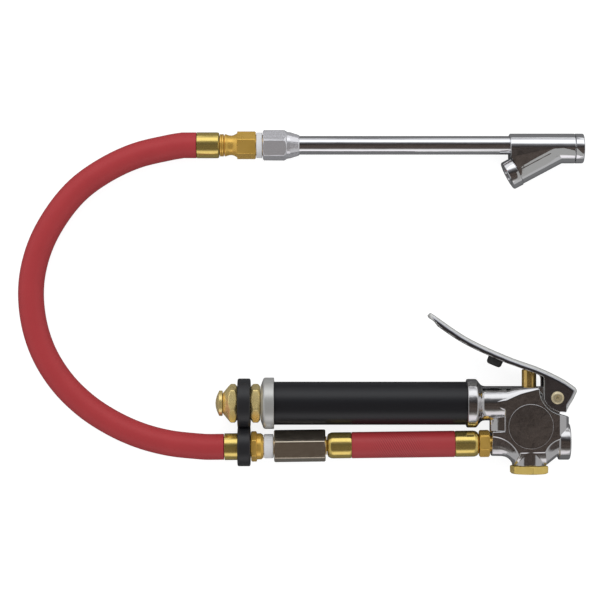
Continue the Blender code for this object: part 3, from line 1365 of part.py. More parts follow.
def make_head(chuck, head_left):
    """The dual-foot head: a straight barrel, a barrel that points back, and the web between them."""
    at = Vector((head_left, HEAD_OFF, 0))
    head = add_solid(
        "chuck_head",
        turned(
            [(0, 0), (0, HEAD_R - NOSE_EDGE / 2), (NOSE_EDGE / 2, HEAD_R), (HEAD_LENGTH, HEAD_R),
             (HEAD_LENGTH, 0)],
            SIDES + 4,
            False,
        ),
        "chrome", location=at, parent=chuck,
    )
    past = FOOT_LENGTH + NOSE_EDGE
    leg = turned([(0, 0), (0, FOOT_R), (past, FOOT_R), (past, 0)], SIDES + 4, False)
    rotated(leg, "Z", FOOT_ANGLE)
    meets = Vector((FOOT_MEETS, 0, 0))
    moved(leg, meets)
    add(head, leg, prism(web_outline(), -WEB_FILL_HALF, WEB_FILL_HALF))
    far = FOOT_LENGTH + 3 * REVERSE_CAP_LENGTH
    wide = 2 * HEAD_R
    shoulder = prism([(FOOT_LENGTH, -wide), (far, -wide), (far, wide), (FOOT_LENGTH, wide)], -wide, wide)
    rotated(shoulder, "Z", FOOT_ANGLE)
    cut(head, moved(shoulder, meets))
    back_bore = rotated(foot_bore(FOOT_LENGTH), "Z", FOOT_ANGLE)
    along = Vector((math.cos(FOOT_ANGLE), math.sin(FOOT_ANGLE), 0))
    inner = FOOT_LENGTH - NOSE_SPIGOT - PIN_GUIDE
    front_inner = HEAD_LENGTH - NOSE_SPIGOT - PIN_GUIDE
    cut(
        head,
        rod((-GAP, -HEAD_OFF, 0), (TUBE_SEATED + GAP, -HEAD_OFF, 0), TUBE_R + GAP, SIDES),
        foot_bore(HEAD_LENGTH),
        moved(back_bore, meets),
        rod((TUBE_SEATED, 0, 0), (front_inner, 0, 0), HEAD_PORT_R),
        rod(meets, meets + along * inner, HEAD_PORT_R),
        solver="MANIFOLD",
    )
    front = empty("front_foot", at + Vector((HEAD_LENGTH, 0, 0)), chuck)
    back = empty("reverse_foot", at + meets + along * FOOT_LENGTH, chuck, (0, 0, FOOT_ANGLE))
    make_foot("front", front, NOSE_LENGTH, HEAD_R)
    make_foot("reverse", back, REVERSE_CAP_LENGTH, REVERSE_CAP_R)


def make_foot(name, axis, length, radius):
    """Cap, washer, pin and spring of one foot, along the axis' local X, which points out."""
    start, mouth = GAP, length
    floor = mouth - NOSE_MOUTH_DEPTH
    turned_piece(
        name + "_cap",
        bored(
            [(-NOSE_SPIGOT, NOSE_SPIGOT_R), (start, NOSE_SPIGOT_R), (start, radius),
             (mouth - NOSE_EDGE, radius), (mouth, radius - NOSE_EDGE)],
            [(-NOSE_SPIGOT, NOSE_INNER_R), (floor, NOSE_INNER_R), (floor, NOSE_MOUTH_R), (mouth, NOSE_MOUTH_R)],
        ),
        "chrome", sides=SIDES + 4, parent=axis,
    )
    washer_right = floor - GAP
    washer_left = washer_right - WASHER_THICKNESS
    outside = NOSE_INNER_R - GAP
    turned_piece(
        name + "_washer",
        bored([(washer_left, outside), (washer_right, outside)],
              [(washer_left, WASHER_HOLE_R), (washer_right, WASHER_HOLE_R)]),
        "black_rubber", sides=SMALL_SIDES, parent=axis,
    )
    flange_right = washer_left - GAP
    flange_left = flange_right - PIN_FLANGE
    cavity = -NOSE_SPIGOT - GAP - PIN_GUIDE
    guide_left = cavity + PIN_TRAVEL + GAP
    turned_piece(
        name + "_pin",
        [(guide_left, 0), (guide_left, PIN_GUIDE_R), (flange_left, PIN_GUIDE_R), (flange_left, PIN_FLANGE_R),
         (flange_right, PIN_FLANGE_R), (flange_right, PIN_TIP_R), (washer_right + PIN_TIP_PROUD, PIN_TIP_R),
         (washer_right + PIN_TIP_PROUD, 0)],
        "brass", closed=False, sides=SMALL_SIDES, parent=axis,
    )
    coil(name + "_spring", cavity, flange_left, FOOT_COIL_R, FOOT_WIRE_R, FOOT_TURNS, parent=axis)


def main():
    clear_scene()
    gun = empty("gun", GUN_AXIS)
    make_valve_body(gun)
    make_valve(gun)
    lever = empty("lever_pivot", PIVOT)
    make_lever(lever)
    make_bumper(lever)
    make_screw(lever)
    stud_face = make_barrel(gun)
    gauge = empty("gauge_slide", GUN_AXIS)
    make_gauge(gauge, gun, stud_face)
    make_barrel_end(gun)
    line = empty("lower_line", OUTLET, turn=(0, 0, LINE_TILT))
    coupling_right = make_whip(line)
    ferrule_left = make_coupling(line, coupling_right)
    make_hose(ferrule_left)
    chuck_axis = (0, CHUCK_Y, CHUCK_Z)
    hose_end = empty("hose_end", chuck_axis)
    ring_right, spigot = make_swivel(hose_end)
    chuck = empty("chuck_swivel", chuck_axis)
    head_left = make_chuck_line(chuck, ring_right, spigot)
    make_head(chuck, head_left)


main()
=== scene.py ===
"""Looks of the inline tire inflator: fine surfaces and finishes over the CAD frame."""

import json
import math

import bmesh
import bpy
from mathutils import Matrix, Vector


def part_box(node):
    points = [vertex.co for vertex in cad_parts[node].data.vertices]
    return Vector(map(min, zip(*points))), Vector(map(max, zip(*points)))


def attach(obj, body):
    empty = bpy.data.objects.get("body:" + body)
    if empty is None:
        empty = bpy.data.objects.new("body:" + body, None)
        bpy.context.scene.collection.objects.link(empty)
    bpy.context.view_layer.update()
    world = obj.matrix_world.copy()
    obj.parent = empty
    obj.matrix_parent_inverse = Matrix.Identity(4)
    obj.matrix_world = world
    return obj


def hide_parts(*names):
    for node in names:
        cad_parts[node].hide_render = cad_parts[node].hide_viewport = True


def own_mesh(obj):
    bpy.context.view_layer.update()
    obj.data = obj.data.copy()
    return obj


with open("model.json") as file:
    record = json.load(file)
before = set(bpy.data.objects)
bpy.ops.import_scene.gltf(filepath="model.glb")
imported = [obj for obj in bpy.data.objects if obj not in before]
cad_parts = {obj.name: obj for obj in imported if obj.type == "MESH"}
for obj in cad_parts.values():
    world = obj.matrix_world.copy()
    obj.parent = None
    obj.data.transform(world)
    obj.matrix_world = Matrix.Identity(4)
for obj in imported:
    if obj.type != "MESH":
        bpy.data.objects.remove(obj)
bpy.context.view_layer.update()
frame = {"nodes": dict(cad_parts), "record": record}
NODES = frame["nodes"]
RECORD = frame["record"]
SLOTS = {part["node"]: part["material_slot"] for part in RECORD["subparts"]}
BODIES = {node: body for body, nodes in RECORD["behaviour"]["bodies"].items() for node in nodes}

# The model's lines, as in the CAD
GUN_Y, GUN_Z = -0.0601, 0.01515
CHUCK_Y, CHUCK_Z = 0.0925, 0.009503
VALVE_X = 0.0816


# Node helpers


class Shader:
    """Short calls for building a material's or the world's nodes."""

    def __init__(self, tree):
        self.tree = tree

    def node(self, kind, **values):
        made = self.tree.nodes.new("ShaderNode" + kind)
        for key, value in values.items():
            setattr(made, key, value)
        return made

    def link(self, source, target):
        if isinstance(source, (int, float, tuple)):
            if isinstance(source, tuple) and len(source) == 3 and target.type == "RGBA":
                source = (*source, 1)
            target.default_value = source
        else:
            self.tree.links.new(source, target)

    def place(self, kind="Object"):
        return self.node("TexCoord").outputs[kind]

    def split(self, vector):
        made = self.node("SeparateXYZ")
        self.link(vector, made.inputs[0])
        return made.outputs

    def math(self, operation, a, b=None, clamp=False):
        made = self.node("Math", operation=operation, use_clamp=clamp)
        for socket, value in zip(made.inputs, (a, b)):
            if value is not None:
                self.link(value, socket)
        return made.outputs[0]

    def fade(self, value, start, width):
        """From 0 at the start to 1 after a width, which may be negative."""
        return self.math("DIVIDE", self.math("SUBTRACT", value, start), width, clamp=True)

    def mix(self, factor, a, b, blend="MIX"):
        made = self.node("Mix", data_type="RGBA", blend_type=blend)
        self.link(factor, made.inputs[0])
        self.link(a, made.inputs[6])
        self.link(b, made.inputs[7])
        return made.outputs[2]

    def ramp(self, source, stops):
        made = self.node("ValToRGB")
        elements = made.color_ramp.elements
        while len(elements) > 1:
            elements.remove(elements[-1])
        for i, (at, colour) in enumerate(stops):
            element = elements[0] if i == 0 else elements.new(at)
            element.position = at
            element.color = (*colour, 1)
        self.link(source, made.inputs[0])
        return made.outputs[0]

    def noise(self, scale, detail, roughness=0.5, vector=None):
        """Noise with so many grains a metre, or so many along each axis, unless it has its own vector."""
        if isinstance(scale, tuple):
            scaled = self.node("VectorMath", operation="MULTIPLY")
            self.link(self.place(), scaled.inputs[0])
            scaled.inputs[1].default_value = scale
            scale, vector = 1, scaled.outputs[0]
        made = self.node("TexNoise")
        for socket, value in (("Scale", scale), ("Detail", detail), ("Roughness", roughness)):
            made.inputs[socket].default_value = value
        self.link(vector or self.place(), made.inputs["Vector"])
        return made.outputs["Fac"]

    def bump(self, height, distance, strength, normal=None):
        made = self.node("Bump")
        made.inputs["Strength"].default_value = strength
        made.inputs["Distance"].default_value = distance
        self.link(height, made.inputs["Height"])
        if normal is not None:
            self.link(normal, made.inputs["Normal"])
        return made.outputs[0]


def placed(name, data):
    obj = bpy.data.objects.new(name, data)
    bpy.context.scene.collection.objects.link(obj)
    return obj


def new_material(name):
    made = bpy.data.materials.new(name)
    made.use_nodes = True
    shader = Shader(made.node_tree)
    return made, shader, made.node_tree.nodes["Principled BSDF"].inputs


def fill(s, inputs, values):
    for socket, value in values.items():
        s.link(value, inputs[socket])


# Finishes


def surface(s, inputs, colour, metallic, rough, *bumps):
    """A colour may be a grain and the two it mixes, and a roughness a grain and its ramp."""
    if isinstance(colour[0], tuple):
        grain, *tones = colour
        colour = s.mix(s.noise(*grain), *tones)
    if isinstance(rough, tuple):
        grain, *stops = rough
        rough = s.ramp(s.noise(*grain), [(at, (value,) * 3) for at, value in stops])
    fill(s, inputs, {"Base Color": colour, "Metallic": metallic, "Roughness": rough})
    normal = None
    for grain, height, strength in bumps:
        normal = s.bump(s.noise(*grain), height, strength, normal)
    if bumps:
        s.link(normal, inputs["Normal"])


# Colour, metallic, roughness, and bumps as grain, height in metres and strength. A grain is a noise's scale
# and detail
SURFACES = {
    "cast_chrome": ((0.74, 0.73, 0.74), 1, ((400, 3), (0.35, 0.05), (0.7, 0.12)),
                    ((110, 2), 0.0004, 0.7), ((900, 3), 0.00003, 0.6)),
    "chrome": ((0.93, 0.93, 0.95), 1, 0.06, ((100, 2), 0.0002, 0.5)),
    # The chuck's nut: bright, with fine lengthwise streaks
    "turned_chrome": ((0.82, 0.81, 0.84), 0.78, 0.16, (((60, 1100, 1100), 3), 0.00014, 0.8)),
    "satin_aluminium": ((0.54, 0.54, 0.52), 0.65, 0.32, (((3000, 60, 60), 3), 0.00003, 0.5)),
    "black_sleeve": ((0.008, 0.008, 0.01), 0, 0.36, (((300, 4000, 4000), 2), 0.00002, 0.5)),
    "black_moulding": ((0.014, 0.014, 0.016), 0, 0.38, ((1500, 2), 0.00003, 0.6)),
    "black_rubber": ((0.02, 0.02, 0.02), 0, 0.6, ((1200, 2), 0.00004, 0.6)),
    "brass": (((150, 2), (0.9, 0.57, 0.14), (0.78, 0.47, 0.09)), 0.72,
              ((200, 2), (0.3, 0.25), (0.75, 0.34)), (((2500, 80, 80), 3), 0.00002, 0.5)),
    # Turned and handled, brighter than the fittings
    "stem_brass": ((0.92, 0.62, 0.2), 0.9, 0.13, (((60, 2500, 60), 3), 0.00002, 0.5)),
    # The gauge's own nuts: paler and duller than the fittings
    "nut_brass": (((130, 1), (0.97, 0.79, 0.38), (0.88, 0.68, 0.26)), 0.78,
                  ((200, 1), (0.3, 0.24), (0.75, 0.32)), ((400, 0), 0.00001, 0.5)),
    "gold_ferrule": (((400, 3), (0.92, 0.72, 0.24), (0.84, 0.62, 0.17)), 0.92, 0.15,
                     (((2600, 60, 60), 3), 0.00004, 0.5)),
    # Bright enough by itself: it looks dark because it reflects the sleeve and the dark overhead
    "dark_nickel": (((500, 4), (0.88, 0.78, 0.64), (0.76, 0.66, 0.52)), 1,
                    (((250, 900, 900), 3), (0.3, 0.18), (0.7, 0.26)),
                    (((250, 1800, 1800), 1), 0.000004, 0.4)),
    "red_hose": (((60, 3), (0.33, 0.024, 0.028), (0.29, 0.019, 0.023)), 0, 0.46, ((2200, 2), 0.00003, 0.5)),
    "pale_brass": (((500, 2), (0.72, 0.64, 0.45), (0.5, 0.4, 0.22)), 0.7, 0.24, ((500, 3), 0.0001, 0.5)),
    "cap_brass": (((350, 3), (0.86, 0.65, 0.2), (0.7, 0.49, 0.12)), 0.6, 0.3, ((600, 3), 0.0001, 0.6)),
    "thread_tape": ((0.52, 0.52, 0.53), 0, 0.6, (((700, 120, 120), 2), 0.0004, 0.9)),
    "clear_tube": ((0.95, 0.97, 1.0), 0, 0.04),
    "drum_white": ((0.8, 0.8, 0.76), 0, 0.35),
    "spring_steel": ((0.55, 0.55, 0.56), 1, 0.25),
}
SOCKETS = {
    "red_hose": {"Specular IOR Level": 0.4},
    "whip_rubber": {"Specular IOR Level": 0.4, "Roughness": 0.42},
    "clear_tube": {"IOR": 1.49, "Transmission Weight": 1.0},
}


def lever_with_painted_crown_light(s, inputs):
    """Dark polished flat sides, and a crown painted lighter and duller than them by the way its faces turn:
    painted light.
    """
    flat = s.math("ABSOLUTE", s.split(s.place("Normal"))[2])
    painted_light_crown = s.fade(flat, 0.93, -0.12)
    # Painted light: faces turned away from the flat sides get a lighter colour, less metal and more
    # roughness
    s.link(s.mix(painted_light_crown, (0.46, 0.46, 0.5), (0.68, 0.68, 0.66)), inputs["Base Color"])
    s.link(s.math("SUBTRACT", 1.0, s.math("MULTIPLY", painted_light_crown, 0.35)), inputs["Metallic"])
    dull = s.math("ADD", 0.08, s.math("MULTIPLY", painted_light_crown, 0.3))
    s.link(s.math("ADD", dull, s.math("MULTIPLY", s.noise(500, 3), 0.06)), inputs["Roughness"])
    s.link(s.bump(s.noise(110, 2), 0.0003, 0.6), inputs["Normal"])


def whip_rubber(s, inputs):
    """Red rubber with fine slanted ribs between two plain ends; the ribs carry painted shade, darker in the
    grooves and lighter on the crests.
    """
    x, y, z = s.split(s.place())
    turn = s.math("ARCTAN2", s.math("SUBTRACT", z, GUN_Z), s.math("ADD", y, 0.0846))
    slant = s.math("SUBTRACT", s.math("MULTIPLY", x, 4488), s.math("MULTIPLY", turn, 20))
    rise, fall = s.fade(x, -0.014, 0.01), s.fade(x, 0.022, -0.01)
    height = s.math("MULTIPLY", s.math("SINE", slant), s.math("MULTIPLY", rise, fall))
    # Painted shade and light: the colour follows the ribs' height, darker in the grooves and lighter on the
    # crests
    painted_rib_shade = s.ramp(s.math("ADD", s.math("MULTIPLY", height, 0.5), 0.5),
                   [(0, (0.21, 0.02, 0.024)), (0.5, (0.3, 0.028, 0.032)), (1, (0.36, 0.04, 0.045))])
    s.link(painted_rib_shade, inputs["Base Color"])
    s.link(s.bump(height, 0.00005, 0.8), inputs["Normal"])


PAINTED = {"lever_with_painted_crown_light": lever_with_painted_crown_light, "whip_rubber": whip_rubber}
MATERIALS = {}


def finish(name):
    """A finish's material, built once."""
    if name not in MATERIALS:
        MATERIALS[name], s, inputs = new_material(name)
        if name in PAINTED:
            PAINTED[name](s, inputs)
        else:
            surface(s, inputs, *SURFACES[name])
        fill(s, inputs, SOCKETS.get(name, {}))
    return MATERIALS[name]


SLOT_FINISH = {
    "aluminium": "satin_aluminium",
    "anodised_black": "black_sleeve",
    "black_plastic": "black_moulding",
    "red_rubber": "red_hose",
    "tape": "thread_tape",
    "clear": "clear_tube",
}


def wear(obj, look, angle):
    obj.data.materials.clear()
    obj.data.materials.append(finish(SLOT_FINISH.get(look, look)))
    obj.data.shade_smooth()
    obj.data.set_sharp_from_angle(angle=math.radians(angle))


def dress_nodes():
    """Every CAD node gets the finish of its record slot."""
    for node, slot in SLOTS.items():
        wear(NODES[node], slot, 35)


# Studio


def build_world():
    """Plain soft light. Metal reflects a dark middle overhead, between a bright side and a paler one."""
    world = bpy.data.worlds.new("studio")
    bpy.context.scene.world = world
    world.use_nodes = True
    s = Shader(world.node_tree)
    background = world.node_tree.nodes["Background"]
    direction = s.place("Generated")
    x, y, z = s.split(direction)
    wobble = s.math("MULTIPLY", s.math("SUBTRACT", s.noise(5, 3, 0.6, direction), 0.5), 9)
    across = s.math("ADD", s.math("MULTIPLY", s.math("ARCTAN2", y, z), 180 / math.pi), wobble)
    along = s.math("MULTIPLY", s.math("ARCTAN2", x, z), 180 / math.pi)
    turn = s.math("ADD", s.math("DIVIDE", across, 360), 0.5)
    bands = s.ramp(turn, [(at / 360 + 0.5, colour) for at, colour in (
        (-179, (0.25, 0.25, 0.25)), (-130, (0.42, 0.41, 0.42)), (-115, (0.3, 0.29, 0.3)),
        (-100, (0.42, 0.41, 0.43)), (-90, (0.6, 0.58, 0.62)), (-81, (0.84, 0.81, 0.84)),
        (-69, (0.95, 0.92, 0.95)), (-60, (0.78, 0.76, 0.76)), (-52, (0.32, 0.31, 0.3)),
        (-45, (0.13, 0.12, 0.11)), (-38, (0.062, 0.052, 0.047)), (-25, (0.08, 0.064, 0.056)),
        (-12, (0.055, 0.044, 0.038)), (-2, (0.064, 0.051, 0.044)), (8, (0.03, 0.026, 0.025)),
        (16, (0.05, 0.048, 0.049)), (24, (0.12, 0.12, 0.125)), (30, (0.26, 0.26, 0.27)),
        (36, (0.74, 0.75, 0.77)), (42, (1.12, 1.14, 1.16)), (62, (1.18, 1.2, 1.22)),
        (72, (0.7, 0.71, 0.73)), (80, (0.38, 0.38, 0.4)), (90, (0.2, 0.2, 0.21)),
        (150, (0.15, 0.15, 0.155)), (179, (0.25, 0.25, 0.25)),
    )])
    mottled = s.ramp(s.noise(30, 4, 0.65, direction), [(0.36, (0.45,) * 3), (0.64, (1.7,) * 3)])
    is_dark = s.math("LESS_THAN", s.math("ABSOLUTE", s.math("ADD", across, 12)), 36)
    bands = s.mix(is_dark, bands, s.mix(1.0, bands, mottled, "MULTIPLY"))
    aside = s.math("ABSOLUTE", along)
    walls = s.mix(s.fade(across, 15, 40), (0.44, 0.44, 0.44), (0.8, 0.81, 0.82))
    walls = s.mix(s.fade(aside, 75, 30), walls, (0.36, 0.36, 0.37))
    shiny = s.mix(s.fade(aside, 35, 9), bands, walls)
    plain = (0.95, 0.96, 0.98)
    colour = s.mix(s.node("LightPath").outputs["Is Glossy Ray"], plain, shiny)
    fill(s, background.inputs, {"Color": colour, "Strength": 1})


def build_floor():
    bpy.ops.mesh.primitive_plane_add(size=8, location=(0, 0, -0.0004))
    floor = bpy.context.object
    floor.name = "floor"
    made, s, inputs = new_material("pale_floor")
    path = s.node("LightPath")
    seen = path.outputs["Is Camera Ray"]
    base = s.mix(seen, (0.85, 0.85, 0.85), (0.24, 0.24, 0.24))
    fill(s, inputs, {
        # Glossy rays see the floor a dark grey, darker than the camera sees it: painted shade in the metal's
        # reflections of the floor
        "Base Color": s.mix(path.outputs["Is Glossy Ray"], base, (0.14, 0.14, 0.14)),
        "Roughness": 0.9,
        "Specular IOR Level": 0,
        "Emission Color": s.mix(seen, (0, 0, 0), (1, 1, 1)),
        "Emission Strength": 0.86,
    })
    floor.data.materials.append(made)


def build_light():
    data = bpy.data.lights.new("key", "AREA")
    data.shape = "RECTANGLE"
    data.size, data.size_y = 1.4, 0.7
    data.energy = 9
    light = placed("key", data)
    light.location = (-0.25, 0.85, 1.1)
    light.rotation_euler = (-light.location).to_track_quat("-Z", "Y").to_euler()
    light.visible_glossy = False


def build_card():
    """A grey card that only shiny metal sees, beyond the angled foot."""
    above, near, far, inner, outer = 0.05, -0.005, 0.021, 0.004, 0.11
    bm = bmesh.new()
    corners = ((near, inner), (far, inner), (far, outer), (near, outer))
    bm.faces.new([bm.verts.new((x, y, above)) for x, y in corners])
    bm.transform(REVERSE)
    card = link("card", bm)
    made, s, inputs = new_material("grey_card")
    fill(s, inputs, {"Base Color": (0, 0, 0), "Emission Color": (0.34, 0.34, 0.33), "Emission Strength": 1})
    card.data.materials.append(made)
    card.visible_camera = card.visible_diffuse = card.visible_shadow = card.visible_transmission = False


def drum_scale():
    """Numbers and lines on the drum, seen through the sleeve's window."""
    low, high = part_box("indicator_drum")
    radius = (high.y - low.y) / 2 + 0.00003
    whole = bmesh.new()
    lines, first, pitch = 81, 0.0035, 0.0006
    for k in range(lines):
        at = high.x - first - pitch * k
        reach = 0.0032 if k % 10 == 0 else 0.0024 if k % 5 == 0 else 0.0016
        half = 0.00013 if k % 10 == 0 else 0.00008
        side = [(half, -0.004 + reach * i / 5) for i in range(6)]
        outline = [(at + x, y) for x, y in side] + [(at - x, y) for x, y in reversed(side)]
        whole = joined(whole, prism(outline, 0, 0.00004))
        if k % 10:
            continue
        text = bpy.data.curves.new("number", "FONT")
        text.body, text.size, text.extrude, text.align_x = str(2 * k), 0.003, 0.00002, "CENTER"
        holder = placed("number", text)
        bpy.context.view_layer.update()
        mesh = bpy.data.meshes.new_from_object(holder.evaluated_get(bpy.context.evaluated_depsgraph_get()))
        bpy.data.objects.remove(holder)
        bpy.data.curves.remove(text)
        number = bmesh.new()
        number.from_mesh(mesh)
        bpy.data.meshes.remove(mesh)
        bmesh.ops.triangulate(number, faces=number.faces)
        long = [e for e in number.edges if e.calc_length() > 0.0005]
        bmesh.ops.subdivide_edges(number, edges=long, cuts=3)
        bmesh.ops.triangulate(number, faces=number.faces)
        for vert in number.verts:
            vert.co = (at - vert.co.x, vert.co.y - 0.0001, vert.co.z + 0.00002)
        whole = joined(whole, number)
    for vert in whole.verts:
        x, y, height = vert.co
        turn = y / radius
        vert.co = (x, math.sin(turn) * (radius + height), -math.cos(turn) * (radius + height))
    bmesh.ops.remove_doubles(whole, verts=whole.verts, dist=1e-7)
    outward(whole).transform(GUN)
    scale = link("drum_scale", whole)
    scale.data.materials.append(finish("black_moulding"))
    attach(scale, "gauge")


def build_camera():
    """Straight down, as in the photograph: 0.59 mm a pixel at half the gun's height."""
    data = bpy.data.cameras.new("photo")
    data.sensor_width = 36
    height = 1.2
    data.lens = 36 * height / 0.354
    camera = placed("photo", data)
    camera.location = (-0.0535, 0.0008, height + GUN_Z)
    bpy.context.scene.camera = camera


# Hose


HOSE_ROUTE = (
    (-0.1125, -0.0856, 0.015), (-0.1305, -0.0837, 0.014), (-0.1481, -0.0792, 0.0125),
    (-0.1651, -0.0717, 0.0108), (-0.1813, -0.0611, 0.0094), (-0.1954, -0.047, 0.0084),
    (-0.2061, -0.0295, 0.0079), (-0.212, -0.0096, 0.0078), (-0.2129, 0.0114, 0.0078),
    (-0.2081, 0.0319, 0.0078), (-0.1984, 0.0504, 0.0079), (-0.1852, 0.0663, 0.0081),
    (-0.1686, 0.0781, 0.0085), (-0.1506, 0.0864, 0.009), (-0.1317, 0.091, 0.0094),
)
HOSE_R = 0.00765
LINE_TILT = math.radians(0.72)


def smooth_curve(points, steps):
    points = [Vector(p) for p in points]
    points = [2 * points[0] - points[1]] + points + [2 * points[-1] - points[-2]]
    curve = []
    for a, b, c, d in zip(points, points[1:], points[2:], points[3:]):
        for i in range(steps):
            t = i / steps
            curve.append(
                (2 * b + (c - a) * t + (2 * a - 5 * b + 4 * c - d) * t**2
                 + (3 * b - a - 3 * c + d) * t**3) / 2
            )
    curve.append(points[-2])
    return curve


def hose_line():
    """The CAD's route, and the length of its smooth curve."""
    tilt = Vector((math.cos(LINE_TILT), math.sin(LINE_TILT), 0))
    outlet = Vector((0.0592, -0.0838, GUN_Z))
    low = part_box("hose_ferrule_gun")[0].x
    start = outlet + tilt * ((low - outlet.x) / tilt.x - 0.0003)
    end = Vector((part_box("hose_ferrule_chuck")[0].x - 0.0003, CHUCK_Y, CHUCK_Z))
    leave, arrive = start - tilt * 0.008, end - Vector((0.008, 0, 0))
    line = [start] + smooth_curve([leave, *HOSE_ROUTE, arrive], 6) + [end]
    return line, sum((b - a).length for a, b in zip(line, line[1:]))


def build_hose():
    line, length = hose_line()
    curve = bpy.data.curves.new("hose_fine", "CURVE")
    curve.dimensions = "3D"
    curve.bevel_depth = HOSE_R
    curve.bevel_resolution = 14
    curve.use_fill_caps = True
    spline = curve.splines.new("POLY")
    spline.points.add(len(line) - 1)
    for spot, point in zip(spline.points, line):
        spot.co = (*point, 1)
    spline.use_smooth = True
    hose = placed("hose_fine", curve)
    curve.materials.append(finish("red_hose"))
    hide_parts("hose")
    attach(hose, "gun")
    tuple(line[0])
    print(f"hose: {length * 1000:.1f} mm")


# Sizes of the CAD, in metres


GAP = 0.0003
COLLAR_R, SLEEVE_R = 0.01515, 0.0127
SLEEVE_LEFT, SLEEVE_RIGHT, SEATED = -0.0688, 0.0446, 0.0042
CASTING_HALF, NECK_R = 0.0102, 0.01015
OUTLET = Vector((0.0592, -0.0838, GUN_Z))
PIVOT = Vector((0.0971, -0.0564, GUN_Z))
HEAD_LEFT, HEAD_OFF, HEAD_LENGTH = 0.0705, -0.0019, 0.0386
FOOT_ANGLE, FOOT_MEETS, FOOT_LENGTH = math.radians(208), 0.0299, 0.0287


def shift(x, y=0, z=0):
    return Matrix.Translation((x, y, z))


def spin(angle, axis="Z"):
    return Matrix.Rotation(angle, 4, axis)


GUN = shift(0, GUN_Y, GUN_Z)
VALVE = shift(VALVE_X, GUN_Y, GUN_Z)
STEM = VALVE @ spin(math.pi / 2)
LEVER = shift(*PIVOT)
LINE = shift(*OUTLET) @ spin(LINE_TILT)
CHUCK = shift(0, CHUCK_Y, CHUCK_Z)
HEAD = shift(HEAD_LEFT, CHUCK_Y + HEAD_OFF, CHUCK_Z)
REVERSE = HEAD @ shift(FOOT_MEETS) @ spin(FOOT_ANGLE)


# Mesh helpers


def outward(bm):
    """Turns every face to the outside."""
    bmesh.ops.recalc_face_normals(bm, faces=bm.faces)
    return bm


def arc(x, y, radius, start, end, steps):
    angles = [math.radians(start + (end - start) * i / steps) for i in range(steps + 1)]
    return [(x + radius * math.cos(a), y + radius * math.sin(a)) for a in angles]


def rounded(corners, size=0.00025, closed=True, steps=3):
    """A profile of (along, radius) corners, each one rounded. A third number is that corner's own size."""
    result = []
    for i, corner in enumerate(corners):
        point = Vector(corner[:2])
        if not closed and i in (0, len(corners) - 1):
            result.append(point)
            continue
        back = Vector(corners[i - 1][:2]) - point
        ahead = Vector(corners[(i + 1) % len(corners)][:2]) - point
        reach = min(corner[2] if len(corner) > 2 else size, back.length * 0.45, ahead.length * 0.45)
        if reach < 1e-5:
            result.append(point)
            continue
        a, b = point + back.normalized() * reach, point + ahead.normalized() * reach
        for k in range(steps + 1):
            t = k / steps
            result.append(a * (1 - t) ** 2 + point * 2 * t * (1 - t) + b * t**2)
    return result


def skin(rings, closed):
    """Quads between rings of points. A ring of one point is a pole."""
    bm = bmesh.new()
    made = [[bm.verts.new(p) for p in ring] for ring in rings]
    pairs = list(zip(made, made[1:])) + ([(made[-1], made[0])] if closed else [])
    for first, second in pairs:
        count = max(len(first), len(second))
        for i in range(count):
            j = (i + 1) % count
            corners = [first[i % len(first)], first[j % len(first)],
                       second[j % len(second)], second[i % len(second)]]
            corners = list(dict.fromkeys(corners))
            if len(corners) > 2:
                bm.faces.new(corners)
    return outward(bm)


def circle(along, radius, angles):
    """A ring of points round X, or one point on it."""
    if radius < 1e-7:
        return [(along, 0, 0)]
    return [(along, radius * math.cos(a), radius * math.sin(a)) for a in angles]


def even(count):
    """Angles that divide a whole turn."""
    return [2 * math.pi * i / count for i in range(count)]


def lathe(profile, sides, closed=True):
    """A solid turned round X."""
    return skin([circle(along, radius, even(sides)) for along, radius in profile], closed)


def turned(corners, size, sides, steps=3):
    """A solid turned from a profile with rounded corners, closed from its ends to the axis."""
    corners = [(corners[0][0], 0), *corners, (corners[-1][0], 0)]
    return lathe(rounded(corners, size, False, steps), sides, False)


def bored(outside, inside, sides, size=0.00025):
    """The same with a bore, which has its own profile."""
    return lathe(rounded(outside + inside[::-1], size), sides)


def soft_min(a, b, blend):
    share = max(blend - abs(a - b), 0) / blend
    return min(a, b) - share * share * blend / 4


def hexagon(outside, inside, flats, turn, edge=0.00035):
    """A turned solid whose outside is also cut to a hexagon, turned by so many degrees, with soft edges.

    Without an inside it is closed by its profile's own ends on the axis.
    """
    turn = math.radians(turn)
    near = (0.25, 0.6, 1.1, 1.8, 3.0, 5.0)
    steps = [-a for a in reversed(near)] + [0] + list(near) + [10, 15, 20, 25, 30, 35, 40, 45, 50]
    angles = [math.radians(60 * k + step) for k in range(6) for step in steps]
    half = flats / 2

    def reach(angle):
        near_flat = angle % (math.pi / 3) - math.pi / 6
        first = half / math.cos(near_flat)
        other = half / math.cos(math.pi / 3 - abs(near_flat))
        return soft_min(first, other, edge)

    limits = [reach(a) for a in angles]
    points = [outside[0]]
    for a, b in zip(outside, outside[1:]):
        length = (Vector(b) - Vector(a)).length
        sloped = abs(a[0] - b[0]) > 1e-6 and abs(a[1] - b[1]) > 1e-6 and max(a[1], b[1]) > half * 0.9
        count = max(1, round(length / 0.0002)) if sloped else 1
        points += [tuple(Vector(a).lerp(Vector(b), i / count)) for i in range(1, count + 1)]
    rings = []
    for along, radius in points:
        if radius < 1e-7:
            rings.append([(along, 0, 0)])
            continue
        ring = []
        for a, limit in zip(angles, limits):
            r = soft_min(radius, limit, edge) if radius > half * 0.9 else radius
            ring.append((along, r * math.cos(a + turn), r * math.sin(a + turn)))
        rings.append(ring)
    for along, radius in reversed(inside or []):
        rings.append(circle(along, radius, [a + turn for a in angles]))
    return skin(rings, bool(inside))


